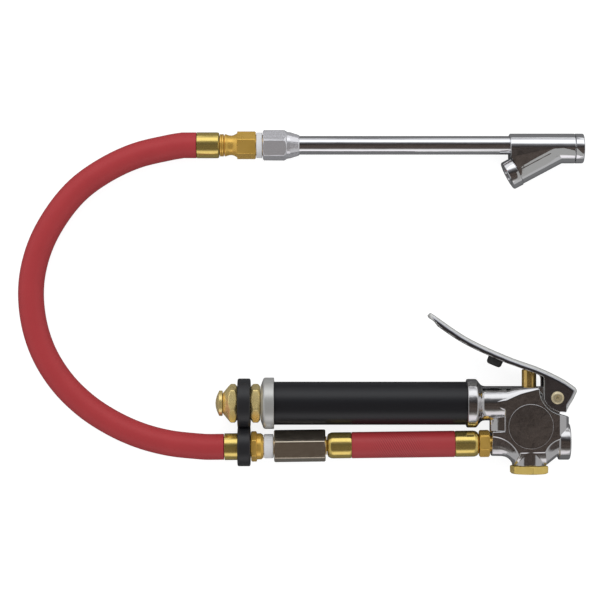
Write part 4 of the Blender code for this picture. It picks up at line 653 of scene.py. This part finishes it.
def prism(outline, low, high):
    bm = bmesh.new()
    floor = [bm.verts.new((x, y, low)) for x, y in outline]
    roof = [bm.verts.new((x, y, high)) for x, y in outline]
    bm.faces.new(floor)
    bm.faces.new(roof)
    for i in range(len(outline)):
        j = (i + 1) % len(outline)
        bm.faces.new((floor[i], floor[j], roof[j], roof[i]))
    return outward(bm)


def rod(start, end, radius, sides=64):
    start, end = Vector(start).to_3d(), Vector(end).to_3d()
    length = (end - start).length
    bm = lathe([(0, 0), (0, radius), (length, radius), (length, 0)], sides, False)
    turn = (end - start).to_track_quat("X", "Z").to_matrix().to_4x4()
    bm.transform(shift(*start) @ turn)
    return bm


def joined(*parts):
    """Several solids in one mesh. A remesh makes them one body."""
    whole = bmesh.new()
    for bm in parts:
        mesh = bpy.data.meshes.new("part")
        bm.to_mesh(mesh)
        bm.free()
        whole.from_mesh(mesh)
        bpy.data.meshes.remove(mesh)
    return whole


def link(name, bm):
    mesh = bpy.data.meshes.new(name)
    bm.to_mesh(mesh)
    bm.free()
    return placed(name, mesh)


def applied(obj):
    bpy.context.view_layer.update()
    graph = bpy.context.evaluated_depsgraph_get()
    mesh = bpy.data.meshes.new_from_object(obj.evaluated_get(graph))
    obj.modifiers.clear()
    old, obj.data = obj.data, mesh
    bpy.data.meshes.remove(old)
    return obj


def cut(obj, *tools, operation="DIFFERENCE", solver="MANIFOLD"):
    for bm in tools:
        tool = link("tool", bm)
        modifier = obj.modifiers.new("cut", "BOOLEAN")
        modifier.operation, modifier.solver, modifier.object = operation, solver, tool
        applied(obj)
        bpy.data.objects.remove(tool)
    return obj


def remeshed(obj, voxel, smoothing=6):
    modifier = obj.modifiers.new("remesh", "REMESH")
    modifier.mode, modifier.voxel_size = "VOXEL", voxel
    modifier = obj.modifiers.new("smooth", "SMOOTH")
    modifier.factor, modifier.iterations = 0.5, smoothing
    return applied(obj)


def finished(obj, node, look=None, angle=30):
    """Puts a fine piece in its CAD node's place, with a finish of its own or its slot's."""
    obj.name = obj.data.name = node + "_fine"
    wear(obj, look or SLOTS[node], angle)
    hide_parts(node)
    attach(obj, BODIES[node])
    return obj


def fine(node, bm, where, look=None):
    bm.transform(where)
    return finished(link(node, bm), node, look)


# Valve casting


def casting_pairs(steps):
    """Pairs of points round the casting: on its flat face, and on its rounded side at mid height."""
    pairs = [((-0.02, -0.0011),) * 2, ((-0.02, 0.0011),) * 2]
    pairs += [((x, y), (x, NECK_R - GAP)) for x, y in face_top(steps)]
    pairs += [(point, point) for point in arc(0.0204, 0.0089, 0.0153, 181, 250, steps)]
    pairs += [((0.0171, -0.0063), (0.0231, -0.0078)), ((0.0171, -0.02), (0.0231, -0.02))]
    start, wall = Vector((0.0171, -0.0306)), Vector((0.01, -0.0362))
    right = arc(0.0203, -0.0326, 0.0126, 106, 159, steps)
    pairs += [(point, tuple(start.lerp(wall, (i + 1) / steps))) for i, point in enumerate(right[1:])]
    left = arc(-0.023, -0.0362, 0.0173, 18, 90, steps)
    side = arc(-0.017, -0.039, 0.008, 24, 92, steps)
    pairs.append(((left[0][0] + GAP, -0.0285), (-0.0097, -0.0362)))
    pairs += list(zip(left[:-1], side[:-1]))
    pairs.append(((-0.0224, left[-1][1]), (-0.0224, -0.0309)))
    pairs += [((-0.0224, -0.0163),) * 2, ((-0.0147, -0.0163),) * 2, ((-0.0147, -0.0031),) * 2]
    return pairs


FACE_TOP = ((-0.0138, 0.0026), (-0.0057, 0.006), (0.0044, 0.0086))
SHOULDER_R = (NECK_R, 0.0054, 0.0022)


def face_top(steps):
    return [tuple(p) for p in flat_curve(FACE_TOP, steps)]


def shoulder(level, start, end, radius):
    """How far a rounded shoulder has swollen at a level, from the face's edge to the neck's side."""
    rise = max(CASTING_HALF * level - (CASTING_HALF - radius), 0)
    width = NECK_R - radius + math.sqrt(max(radius**2 - rise**2, 0))
    return min(max((width - start) / (end - start), 0), 1)


def rolled(level, reach):
    """How far a cove has gone from the face to its side: a small step, nearly flat, then over the edge."""
    if reach < 0.001:
        return 1 - level**2
    step, drop = 0.0004 / reach, 0.96
    if level > drop:
        return step * (1 - level) / (1 - drop)
    return step + (1 - step) * (1 - (level / drop) ** 4.5)


def shoulder_radius(x):
    """Its radius along the face's top edge: the neck's own, then ever tighter towards the lever."""
    (a, b, c), (ra, rb, rc) = (p[0] for p in FACE_TOP), SHOULDER_R
    return ra + (rb - ra) * (x - a) / (b - a) if x < b else rb + (rc - rb) * (x - b) / (c - b)


def casting_block():
    """The CAD's loft with many more layers and points."""
    pairs = casting_pairs(24)
    levels = [1, 0.98, 0.96, 0.94, 0.91, 0.88, 0.84, 0.77, 0.69, 0.6, 0.5, 0.4, 0.3, 0.2, 0.1, 0]
    levels += [-level for level in reversed(levels[:-1])]
    bm = bmesh.new()
    layers = []
    top = {(x, y): shoulder_radius(x) for x, y in face_top(24)}
    for level in levels:
        layer = []
        for a, b in pairs:
            if a in top:
                swell = shoulder(abs(level), a[1], b[1], top[a])
            else:
                swell = rolled(abs(level), math.dist(a, b))
            x, y = a[0] + (b[0] - a[0]) * swell, a[1] + (b[1] - a[1]) * swell
            layer.append(bm.verts.new((x, y, CASTING_HALF * level)))
        layers.append(layer)
    bm.faces.new(layers[0])
    bm.faces.new(reversed(layers[-1]))
    upright = [a not in top and math.dist(a, b) < 0.001 for a, b in pairs]
    rims = []
    for layer in (layers[0], layers[-1]):
        for i, j in enumerate(list(range(1, len(pairs))) + [0]):
            if upright[i] and upright[j]:
                rims.append(bm.edges.get((layer[i], layer[j])))
    for upper, lower in zip(layers, layers[1:]):
        for i in range(len(upper)):
            j = (i + 1) % len(upper)
            bm.faces.new((upper[i], upper[j], lower[j], lower[i]))
    bmesh.ops.bevel(bm, geom=rims, offset=0.0004, segments=1, affect="EDGES")
    bmesh.ops.remove_doubles(bm, verts=bm.verts, dist=1e-6)
    bmesh.ops.triangulate(bm, faces=bm.faces)
    return outward(bm)


def valve_casting():
    left, right, cone = -0.037, -0.0312, -0.0281
    outlet_y, inlet_y = -0.0237, -0.0225
    neck = turned(
        [(left, 0.01435, 0.0008), (right, 0.01435, 0.0009), (cone, NECK_R, 0.002), (0.0047, NECK_R, 0.0015),
         (0.0069, 0.00795)], 0.0004, 128)
    painted_light_crown = arc(-0.0151, -0.00384, 0.01044, 75, 140, 24)
    painted_light_crown += [(x, -z) for x, z in reversed(painted_light_crown)]
    web = prism(painted_light_crown, -0.0169, -0.0078)
    web.transform(Matrix(((1, 0, 0, 0), (0, 0, 1, 0), (0, 1, 0, 0), (0, 0, 0, 1))))
    outward(web)
    boss = rod((0, outlet_y), (0, -0.0365), 0.01, 96)
    inlet = turned(
        [(0.01185, 0.0076), (0.0171, 0.0081, 0.0016), (0.0171, 0.0108, 0.0007), (0.0238, 0.0108, 0.0009)],
        0.0003, 128)
    inlet.transform(shift(0, inlet_y))
    round_end = arc(0.0155, 0.0037, 0.0065, 105, -72, 32)
    round_end += [(round_end[-1][0], -0.013), (0, -0.013), (0, round_end[0][1] - GAP)]
    lug = prism(round_end[::-1], -0.0058, 0.0058)
    body = remeshed(link("casting", joined(casting_block(), neck, web, boss, inlet, lug)), 0.00025, 4)
    top = CASTING_HALF + 0.0005
    disc = turned([(-top, 0.01315), (top, 0.01315)], 0.0003, 192, 6)
    disc.transform(shift(0.0001, -0.0132) @ spin(math.pi / 2, "Y"))
    cut(body, disc, operation="UNION")
    bores = lathe(
        [(-0.0368, 0), (-0.0368, 0.007), (-0.0205, 0.007), (-0.0205, 0.0042), (-0.0184, 0.0042),
         (-0.0184, 0.0052), (0.002, 0.0052), (0.002, 0.0046), (0.01045, 0.0046), (0.01045, 0)], 64, False)
    bores.transform(spin(math.pi / 2))
    cut(
        body,
        rod((left - GAP, 0), (-0.0325, 0), SLEEVE_R + 0.0001, 96),
        rod((-0.0328, 0), (-0.0043, 0), 0.002),
        bores,
        rod((-0.0227, outlet_y), (-0.0134, outlet_y), 0.0049),
        rod((-0.0137, outlet_y), (-0.0049, -0.01367), 0.0019),
        rod((0.0241, inlet_y), (0.0133, inlet_y), 0.0062, 96),
        rod((0.0136, inlet_y), (0.0061, inlet_y), 0.0024),
        rod((0.0155, 0.0037, -0.0102), (0.0155, 0.0037, 0.0102), 0.0025),
    )
    body.data.transform(VALVE)
    finished(body, "valve_body", angle=40)


# Lever


LEVER_TOP = ((-0.0736, 0.0496), (-0.0525, 0.0353), (-0.0297, 0.0246), (-0.0105, 0.0176), (0.0031, 0.01115),
             (0.0112, 0.0057))
LEVER_REAR = ((0.0119, 0.0037), (0.00985, -0.0007), (0.0071, -0.0051), (0.0051, -0.0085))
LEVER_HALF, LEVER_TIP_HALF, LEVER_PLATE, LEVER_WALL, LEVER_DEPTH = 0.0105, 0.0086, 0.0018, 0.0018, 0.0039
EAR_LEFT = -0.0076
LEVER_TIP_X = -0.0754
LEVER_STEPS = 24


def flat_curve(points, steps):
    return [p.to_2d() for p in smooth_curve([(*p, 0) for p in points], steps)]


def beside(points, distance):
    """A plane curve moved to its right-hand side."""
    result = []
    for i, point in enumerate(points):
        along = (points[min(i + 1, len(points) - 1)] - points[max(i - 1, 0)]).normalized()
        result.append(Vector((point.x + along.y * distance, point.y - along.x * distance)))
    return result


def lever_half(x, inset):
    """Half of the lever's width at a place along it: a taper with a rounded tip."""
    wide, narrow, tip, curve = LEVER_HALF - inset, LEVER_TIP_HALF - inset, LEVER_TIP_X + inset, 0.006
    share = min(max((x + 0.02) / (tip + curve + 0.02), 0), 1)
    half = wide + (narrow - wide) * share
    if x < tip + curve:
        part = min((tip + curve - x) / curve, 1)
        half -= curve * (1 - math.sqrt(1 - part**2))
    return max(half, 0.001)


def shaped(outline, inset, edge=0.0):
    """A prism whose width follows the lever's plan, with the edges of its top rounded."""
    bm = prism(outline, -LEVER_HALF + inset, LEVER_HALF - inset)
    if edge:
        top = LEVER_REAR[-1][1] + 0.001

        def outer(co):
            return co.y > top and min((Vector(p) - co.to_2d()).length for p in OUTER_LINE) < 0.0001

        rims = [e for e in bm.edges if abs(e.verts[0].co.z - e.verts[1].co.z) < 1e-6
                and outer(e.verts[0].co) and outer(e.verts[1].co)]
        bmesh.ops.bevel(bm, geom=rims, offset=edge, segments=8, profile=0.5, affect="EDGES")
    bmesh.ops.triangulate(bm, faces=bm.faces)
    for vert in bm.verts:
        vert.co.z *= lever_half(vert.co.x, inset) / (LEVER_HALF - inset)
    return bm


LEVER_CURVE = flat_curve(LEVER_TOP, LEVER_STEPS)
OUTER_LINE = [tuple(p) for p in LEVER_CURVE] + list(LEVER_REAR)


def lever_handle():
    curve = LEVER_CURVE
    flange_start = curve[0].x + 0.004
    flange = [p for p in beside(curve, LEVER_DEPTH) if flange_start < p.x < EAR_LEFT]
    tip = Vector((LEVER_TIP_X, 0.0478))
    outline = [tuple(p) for p in curve] + list(LEVER_REAR) + arc(0.0049, 0.0052, 0.014, -107, -153, 24)
    outline += [(EAR_LEFT, flange[-1].y - LEVER_WALL)] + [tuple(p) for p in reversed(flange)]
    outline += [(tip.x + 0.004, tip.y - 0.003), tuple(tip)]
    lever = link("lever_handle", shaped(outline, 0, 0.0031))
    roof = beside(curve, LEVER_PLATE)
    arm = [tuple(p) for p in roof if flange_start < p.x < EAR_LEFT]
    arm += [(EAR_LEFT, arm[-1][1] - LEVER_PLATE / 2), (EAR_LEFT, -LEVER_HALF), (flange_start, -LEVER_HALF)]
    inner = beside([curve[-1]] + [Vector(p) for p in LEVER_REAR], LEVER_PLATE)
    ears = [tuple(p) for p in roof if EAR_LEFT - LEVER_WALL < p.x < inner[1].x]
    ears += [tuple(p) for p in inner[1:]]
    ears += [(inner[-1].x, -2 * LEVER_HALF), (EAR_LEFT * 1.5, -2 * LEVER_HALF)]
    ears.append((EAR_LEFT * 1.5, ears[0][1] - LEVER_PLATE))
    cut(lever, shaped(arm, LEVER_WALL), prism(ears, -0.0061, 0.0061), solver="EXACT")
    remeshed(lever, 0.00028, 5)
    cut(lever, rod((0, 0, -0.021), (0, 0, 0.021), 0.0024))
    lever.data.transform(LEVER)
    finished(lever, "lever", "lever_with_painted_crown_light", angle=40)


# Lever's pieces and the valve's brass


def lever_fittings():
    curve = LEVER_CURVE
    for a, b in zip(curve, curve[1:]):
        if a.x <= -0.0335 <= b.x:
            break
    spot = a.lerp(b, (-0.0335 - a.x) / (b.x - a.x))
    slope = math.atan2(b.y - a.y, b.x - a.x)
    where = LEVER @ shift(*spot) @ spin(slope - math.pi / 2)
    fine("lever_bumper", turned(
        [(0.0021, 0.00465, 0.0006), (0.0035, 0.00465, 0.0004), (0.0082, 0.0045, 0.0024)],
        0.0003, 96, 5), where)
    under, top = LEVER_HALF + GAP, LEVER_HALF + GAP + 0.0016
    screw = link("screw", turned(
        [(-LEVER_HALF, 0.0022, 0.0003), (under, 0.0022), (under, 0.0038, 0.0002),
         (under + 0.0007, 0.0038, 0.0007), (top, 0.0026, 0.0007)], 0.0002, 96, 4))
    recess = [(top - 0.0014, 0), (top - 0.0012, 0.0008), (top - 0.0002, 0.0016), (top + 0.0002, 0.002),
              (top + 0.0002, 0)]
    cut(screw, lathe(recess, 4, False))
    screw.data.transform(LEVER @ spin(-math.pi / 2, "Y"))
    finished(screw, "lever_screw", "pale_brass")


def valve_brass():
    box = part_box("valve_stem")
    low, top = box[0].y - GUN_Y, box[1].y - GUN_Y
    fine("valve_stem", turned(
        [(low, 0.0015), (-0.0205, 0.0015), (-0.0205, 0.002), (0, 0.002), (0.002, 0.0043), (0.0079, 0.0043),
         (0.0079, 0.0033), (0.0097, 0.0033), (0.0097, 0.0043), (top - 0.0004, 0.0043, 0.0004),
         (top, 0.0036, 0.0003)], 0.0001, 96), STEM, "stem_brass")
    face, bottom, flats = -0.0368, -0.0414, 0.0205
    edge = flats / math.sqrt(3)
    fine("valve_cap", hexagon(
        [(bottom, 0), (bottom, edge - 0.0016), (bottom + 0.0007, edge - 0.00015), (face - 0.0005, edge),
         (face, edge - 0.0009), (face, 0.0067), (face + 0.0042, 0.0067), (face + 0.0042, 0.0054),
         (-0.0375, 0.0054), (-0.0375, 0)], None, flats, 97.2), STEM, "cap_brass")


# Gauge


def gauge_barrel():
    sleeve = link("sleeve", bored(
        [(SLEEVE_LEFT - SEATED, SLEEVE_R), (SLEEVE_RIGHT + SEATED, SLEEVE_R)],
        [(SLEEVE_LEFT - SEATED, 0.0106), (SLEEVE_RIGHT + SEATED, 0.0106)], 160))
    middle = (SLEEVE_LEFT + SLEEVE_RIGHT) / 2
    slot = prism(arc(middle + 0.0235, 0, 0.0045, -90, 90, 24) + arc(middle - 0.0235, 0, 0.0045, 90, 270, 24),
                 -0.013, -0.0053)
    cut(sleeve, slot)
    sleeve.data.transform(GUN)
    finished(sleeve, "barrel_sleeve")
    left, floor = SLEEVE_LEFT - 0.0079, SLEEVE_LEFT - 0.005
    fine("barrel_collar", bored(
        [(left, 0.01015, 0.0008), (left + 0.0018, COLLAR_R, 0.0011), (SLEEVE_LEFT, COLLAR_R, 0.0006)],
        [(left, 0.0053), (floor, 0.0053), (floor, 0.013), (SLEEVE_LEFT, 0.0129)], 128), GUN)


def barrel_end():
    flats, edge, bore, turn = 0.0204, 0.0204 / math.sqrt(3), 0.0053, 46.2
    left, right = -0.0824, -0.077
    fine("nut_inner", hexagon(
        [(left, 0.0099), (left + 0.0014, edge), (right - 0.0014, edge), (right, 0.0099)],
        [(left, bore), (right, bore)], flats, turn), GUN, "nut_brass")
    left, right = -0.0989, -0.0906
    fine("nut_outer", hexagon(
        [(left, 0.0062), (left + GAP, 0.0065), (left + 0.0047, edge), (right - 0.0014, edge),
         (right, 0.0099)],
        [(left, bore), (right, bore)], flats, turn), GUN, "nut_brass")
    rim = -0.0992
    face = rim - 0.0021
    plug = rounded(
        [(face - 0.0021, 0), (face - 0.0019, 0.0022, 0.0012), (face - 0.001, 0.0052, 0.0014),
         (face, 0.0071, 0.0003), (face + 0.0001, 0.0075, GAP), (rim, 0.0075, GAP), (rim, 0.0023),
         (rim + 0.009, 0.0023), (rim + 0.009, 0)], 0.0002, False, 5)
    fine("gauge_end_plug", lathe(plug, 96, False), GUN, "nut_brass")


def bracket():
    low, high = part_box("hose_bracket")
    middle, half = (low.x + high.x) / 2, (high.x - low.x) / 2
    eye_y = -0.0237 - math.sin(LINE_TILT) * (OUTLET.x - middle)
    big, small = 0.0146, 0.0116
    reach = (big**2 - small**2 + eye_y**2) / (-2 * eye_y)
    upper, lower = math.degrees(math.acos(reach / big)), math.degrees(math.acos((-eye_y - reach) / small))
    outline = arc(0, 0, big, -90 + upper, 270 - upper, 72)
    outline += arc(0, eye_y, small, 90 + lower, 450 - lower, 60)[1:-1]
    bm = prism(outline, -half, half)
    rims = [e for e in bm.edges if abs(e.verts[0].co.z - e.verts[1].co.z) < 1e-6]
    bmesh.ops.bevel(bm, geom=rims, offset=0.0009, segments=4, profile=0.5, affect="EDGES")
    bm.transform(spin(math.pi / 2, "Y"))
    plate = link("bracket", bm)
    cut(plate, rod((-half * 2, 0), (half * 2, 0), 0.0053, 96),
        rod((-half * 2, eye_y), (half * 2, eye_y), 0.0083, 96))
    plate.data.transform(GUN @ shift(middle))
    finished(plate, "hose_bracket")


# Lower line, along its own axis from the casting's outlet


def crimped(node, open_end, closed_end):
    """A whip ferrule, plain at its open end and crimped and rounded at its closed end."""
    way = 1 if open_end < closed_end else -1
    left, right = open_end * way, closed_end * way
    radius, inside, bore = 0.0077, 0.0069, 0.0037
    profile = rounded(
        [(left, radius - 0.0002, 0.0002), (left + 0.0009, radius, 0.0004), (right - 0.0026, radius, 0.0018),
         (right - 0.0006, radius - 0.0009, 0.001), (right, radius - 0.0027, 0.0003), (right, bore),
         (right - 0.0026, bore), (right - 0.0026, inside), (left, inside, 0.0002)], 0.0002, True, 6)
    fine(node, lathe([(along * way, r) for along, r in profile], 128), LINE, "gold_ferrule")


def lower_line():
    barb_r = 0.0034
    edge = 0.0142 / math.sqrt(3)
    fine("whip_nipple", hexagon(
        [(-0.0186, 0.0029), (-0.007, barb_r), (-0.007, edge - 0.0009), (-0.0064, edge - 0.0001),
         (-0.0016, edge - 0.0001), (-0.001, edge - 0.0009), (-0.001, 0.0046), (0.008, 0.0046)],
        [(-0.0186, 0.0019), (0.008, 0.0019)], 0.0142, -9), LINE)
    rear_right, rear_left = -0.0073, -0.0214
    front_right, front_left = -0.0824, -0.0967
    crimped("whip_ferrule_rear", rear_left, rear_right)
    crimped("whip_ferrule_front", front_right, front_left)
    fine("whip_hose", bored(
        [(front_left + 0.0029, 0.0066), (front_right + 0.0001, 0.0066),
         (front_right + 0.00015, 0.00775, 0.0005), (rear_left - 0.00015, 0.00775, 0.0005),
         (rear_left - 0.0001, 0.0066), (rear_right - 0.0029, 0.0066)],
        [(front_left + 0.0029, 0.004), (rear_right - 0.0029, 0.004)], 128, 0.0001), LINE, "whip_rubber")
    right, left = front_left - 0.001, front_left - 0.0313
    edge, thread = 0.0174 / math.sqrt(3), 0.0057
    fine("coupling", hexagon(
        [(left, edge - 0.0011), (left + 0.0006, edge - 0.0001), (right - 0.0006, edge - 0.0001),
         (right, edge - 0.0011)],
        [(left, thread), (left + 0.011, thread), (left + 0.011, 0.003), (right - 0.011, 0.003),
         (right - 0.011, thread), (right, thread)], 0.0174, 13, 0.0003), LINE)
    tape_right = left - GAP
    tape_left = tape_right - 0.0057
    fine("tape_gun", tape(tape_left, tape_right, 0.00735, thread, 3), LINE)
    cone_right = tape_left - GAP
    hex_right = cone_right - 0.0038
    hex_left = hex_right - 0.0034
    ferrule_right = hex_left - GAP
    ferrule_left = ferrule_right - 0.0154
    thread_end = left + 0.011 - GAP
    edge = 0.016 / math.sqrt(3)
    fine("hose_nipple", hexagon(
        [(ferrule_left + GAP, 0.0029), (hex_left, barb_r), (hex_left, edge - 0.0008),
         (hex_left + 0.0005, edge - 0.0001), (hex_right - 0.0004, edge - 0.0001), (hex_right, 0.0082),
         (hex_right + 0.0001, 0.0077), (cone_right - 0.0014, 0.0077), (cone_right - 0.0003, 0.0069),
         (cone_right, 0.0066), (cone_right, 0.0054), (thread_end, 0.0054)],
        [(ferrule_left + GAP, 0.0019), (thread_end, 0.0019)], 0.016, 4), LINE)
    fine("hose_ferrule_gun", bored(
        [(ferrule_left, 0.0079, 0.0003), (ferrule_right, 0.0079, 0.0009)],
        [(ferrule_left, 0.0046), (ferrule_right, 0.0046)], 128, 0.0002), LINE, "gold_ferrule")


def tape(left, right, radius, bore, seed):
    """Thread tape: thin wraps whose edges wander, with lengthwise puckers."""
    def wave(a, i):
        return sum(math.sin(a * k + seed * k * 1.7 + i * 0.35 * k) / k for k in (3, 5, 8, 13)) * 0.3

    outer = 12
    rings = []
    for i in range(outer + 1):
        t = i / outer
        along = left + (right - left) * t
        ring = []
        for a in even(144):
            dip = max(0, abs(t - 0.5) * 2 - 0.82) / 0.18
            pucker = 0.0001 * (math.sin(a * 34 + seed + 2 * math.sin(a * 3)) * 0.6 + wave(a, i))
            r = radius - 0.00025 + pucker - 0.0005 * dip**2
            reach = 0.00022 * wave(a + seed, 0) if i in (0, outer) else 0
            reach = max(reach, 0) if i == 0 else min(reach, 0)
            ring.append((along + reach, r * math.cos(a), r * math.sin(a)))
        rings.append(ring)
    rings += [circle(along, bore, even(144)) for along in (right - 0.0002, left + 0.0002)]
    return skin(rings, True)


# Springs


def coil(start, end, radius, wire, turns):
    """A round wire wound round X, closed at both ends."""
    per_turn, sides = 24, 10
    count = per_turn * turns
    climb = (end - start) / turns / (2 * math.pi)
    rings = []
    for i in range(count + 1):
        a = 2 * math.pi * i / per_turn
        out = Vector((0, math.cos(a), math.sin(a)))
        centre = Vector((start + (end - start) * i / count, 0, 0)) + out * radius
        side = Vector((climb, -radius * math.sin(a), radius * math.cos(a))).normalized().cross(out)
        ring = [tuple(centre + (out * math.cos(b) + side * math.sin(b)) * wire) for b in even(sides)]
        if i in (0, count):
            ring = [[tuple(centre)], ring][::1 if i == 0 else -1]
            rings += ring
        else:
            rings.append(ring)
    return skin(rings, False)


def springs():
    """Fine springs, each over its CAD spring's length."""
    joints = {joint["name"]: joint for joint in RECORD["behaviour"]["joints"]}
    for node, where, joint, radius, wire, turns in (
        ("valve_spring", STEM, "valve_stroke", 0.0044, 0.00045, 5),
        ("gauge_spring", GUN, "gauge_slide", 0.0046, 0.0006, 10),
        ("front_spring", HEAD, "front_pin_press", 0.0041, 0.0004, 3),
        ("reverse_spring", REVERSE, "reverse_pin_press", 0.0041, 0.0004, 3),
    ):
        back = where.inverted()
        along = [(back @ vert.co).x for vert in NODES[node].data.vertices]
        low, high = min(along), max(along)
        spring = fine(node, coil(low + wire, high - wire, radius, wire, turns), where)
        way = Vector(joints[joint]["axis"])
        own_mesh(spring)


# Chuck


def chuck_line():
    left, right = -0.1146, -0.1013
    fine("hose_ferrule_chuck", bored(
        [(left, 0.00768, 0.0003), (right, 0.00768, 0.0013)],
        [(left, 0.0046), (right, 0.0046)], 128, 0.0002), CHUCK, "gold_ferrule")
    ring_left, ring_right = right + GAP, right + GAP + 0.0024
    middle, spigot = (ring_left + ring_right) / 2, ring_right + 0.0105
    groove = ring_right + 0.00525
    fine("swivel_stem", bored(
        [(left + GAP, 0.0029), (ring_left, 0.0034), (ring_left, 0.00665, 0.0005),
         (middle - 0.0001, 0.00665, 0.0002), (middle, 0.006), (middle + 0.0001, 0.00665, 0.0002),
         (ring_right, 0.00665, 0.0005), (ring_right, 0.0042), (groove, 0.0042), (groove, 0.0032),
         (groove + 0.0018, 0.0032), (groove + 0.0018, 0.0042), (spigot, 0.0042)],
        [(left + GAP, 0.0019), (spigot, 0.0019)], 96, 0.0001), CHUCK)
    bell = ring_right + GAP
    hex_left = bell + 0.0077
    hex_right = hex_left + 0.0109
    thread_end = hex_right + 0.012
    edge = 0.0145 / math.sqrt(3)
    fine("swivel_body", hexagon(
        [(bell, 0.0061), (bell + 0.0004, 0.0066), (bell + 0.0009, 0.00655), (bell + 0.0021, 0.0061),
         (bell + 0.0032, 0.00585), (bell + 0.0045, 0.0058), (bell + 0.0056, 0.0061), (bell + 0.0066, 0.0066),
         (hex_left - 0.0002, 0.0071), (hex_left, edge), (hex_right - 0.0006, edge),
         (hex_right, edge - 0.0007), (hex_right, 0.0062), (thread_end, 0.0062)],
        [(bell, 0.0045), (spigot + GAP, 0.0045), (spigot + GAP, 0.0026), (thread_end, 0.0026)],
        0.0145, 10), CHUCK)
    tape_left = hex_right + GAP
    tape_right = tape_left + 0.0036
    fine("tape_chuck", tape(tape_left, tape_right, 0.00775, 0.0065, 7), CHUCK)
    nut = tape_right + GAP
    cone, nut_right = nut + 0.0136, nut + 0.0216
    tube_left = thread_end + GAP
    edge = 0.0162 / math.sqrt(3)
    fine("chuck_nut", hexagon(
        [(nut, edge - 0.0012), (nut + 0.0007, edge - 0.0002), (cone - 0.0012, edge), (cone, 0.0086),
         (cone + 0.0006, 0.008), (cone + 0.0026, 0.0077), (nut_right - 0.0005, 0.0062), (nut_right, 0.0058)],
        [(nut, 0.0065), (tube_left, 0.0065), (tube_left, 0.00565), (nut_right, 0.00565)],
        0.0162, 16), CHUCK, "turned_chrome")
    fine("chuck_tube", bored(
        [(tube_left + GAP, 0.0055), (HEAD_LEFT + 0.008, 0.0055)],
        [(tube_left + GAP, 0.0039), (HEAD_LEFT + 0.008, 0.0039)], 160), CHUCK)


def foot_bore(face):
    spigot = face - 0.0048
    return lathe([(spigot - 0.0048, 0), (spigot - 0.0048, 0.0059), (spigot, 0.0059), (spigot, 0.0073),
                  (face + GAP, 0.0073), (face + GAP, 0)], 96, False)


def dual_foot_head():
    barrel_r, leg_r = 0.0088, 0.0083
    barrel = turned([(0, barrel_r, 0.0005), (HEAD_LENGTH, barrel_r, 0.0002)], 0.0003, 160)
    turn = shift(FOOT_MEETS) @ spin(FOOT_ANGLE)
    leg = lathe([(0, 0), (0, leg_r), (0.03, leg_r), (0.03, 0)], 160, False)
    leg.transform(turn)
    meets = Vector((FOOT_MEETS, 0))
    along = Vector((math.cos(FOOT_ANGLE), math.sin(FOOT_ANGLE)))
    across = Vector((along.y, -along.x))
    past = meets + along * 0.0295
    inner_edge = across * 0.0008
    outline = [(0.0004, 0), (0.0004, -0.0044), tuple(past + across * 0.00905), tuple(past + inner_edge),
               tuple(meets + inner_edge), tuple(meets)]
    web = prism(outline, -barrel_r, barrel_r)
    for vert in web.verts:
        if (vert.co.xy - past - inner_edge).length < 1e-6:
            vert.co.z *= 0.955
    head = remeshed(link("head", joined(barrel, leg, web)), 0.00025, 6)
    beyond = [(FOOT_LENGTH, -0.018), (0.048, -0.018), (0.048, 0.018), (FOOT_LENGTH, 0.018)]
    shoulder = prism(beyond, -0.018, 0.018)
    shoulder.transform(turn)
    back = foot_bore(FOOT_LENGTH)
    back.transform(turn)
    inner = FOOT_LENGTH - 0.0093
    cut(head, shoulder, rod((-GAP, 0.0019), (0.0083, 0.0019), 0.0057, 96), foot_bore(HEAD_LENGTH), back,
        rod((0.008, 0), (HEAD_LENGTH - 0.0093, 0), 0.0021),
        rod(meets, meets + along * inner, 0.0021))
    head.data.transform(HEAD)
    finished(head, "chuck_head", angle=40)
    foot_cap("front_cap", HEAD @ shift(HEAD_LENGTH), 0.0054, 0.0088)
    foot_cap("reverse_cap", REVERSE @ shift(FOOT_LENGTH), 0.0064, 0.00875)


def foot_cap(node, where, mouth, radius):
    floor = mouth - 0.0043
    fine(node, bored(
        [(-0.0045, 0.007), (GAP, 0.007), (GAP, radius, 0.0002), (mouth, radius, 0.0011)],
        [(-0.0045, 0.0062), (floor, 0.0062), (floor, 0.0042), (mouth, 0.0042, 0.0004)], 160, 0.0002), where)


def main():
    dress_nodes()
    build_world()
    build_floor()
    build_light()
    build_camera()
    build_card()
    build_hose()
    valve_casting()
    lever_handle()
    lever_fittings()
    valve_brass()
    gauge_barrel()
    drum_scale()
    barrel_end()
    bracket()
    lower_line()
    chuck_line()
    dual_foot_head()
    springs()
    bpy.context.scene.view_settings.view_transform = "Standard"


main()
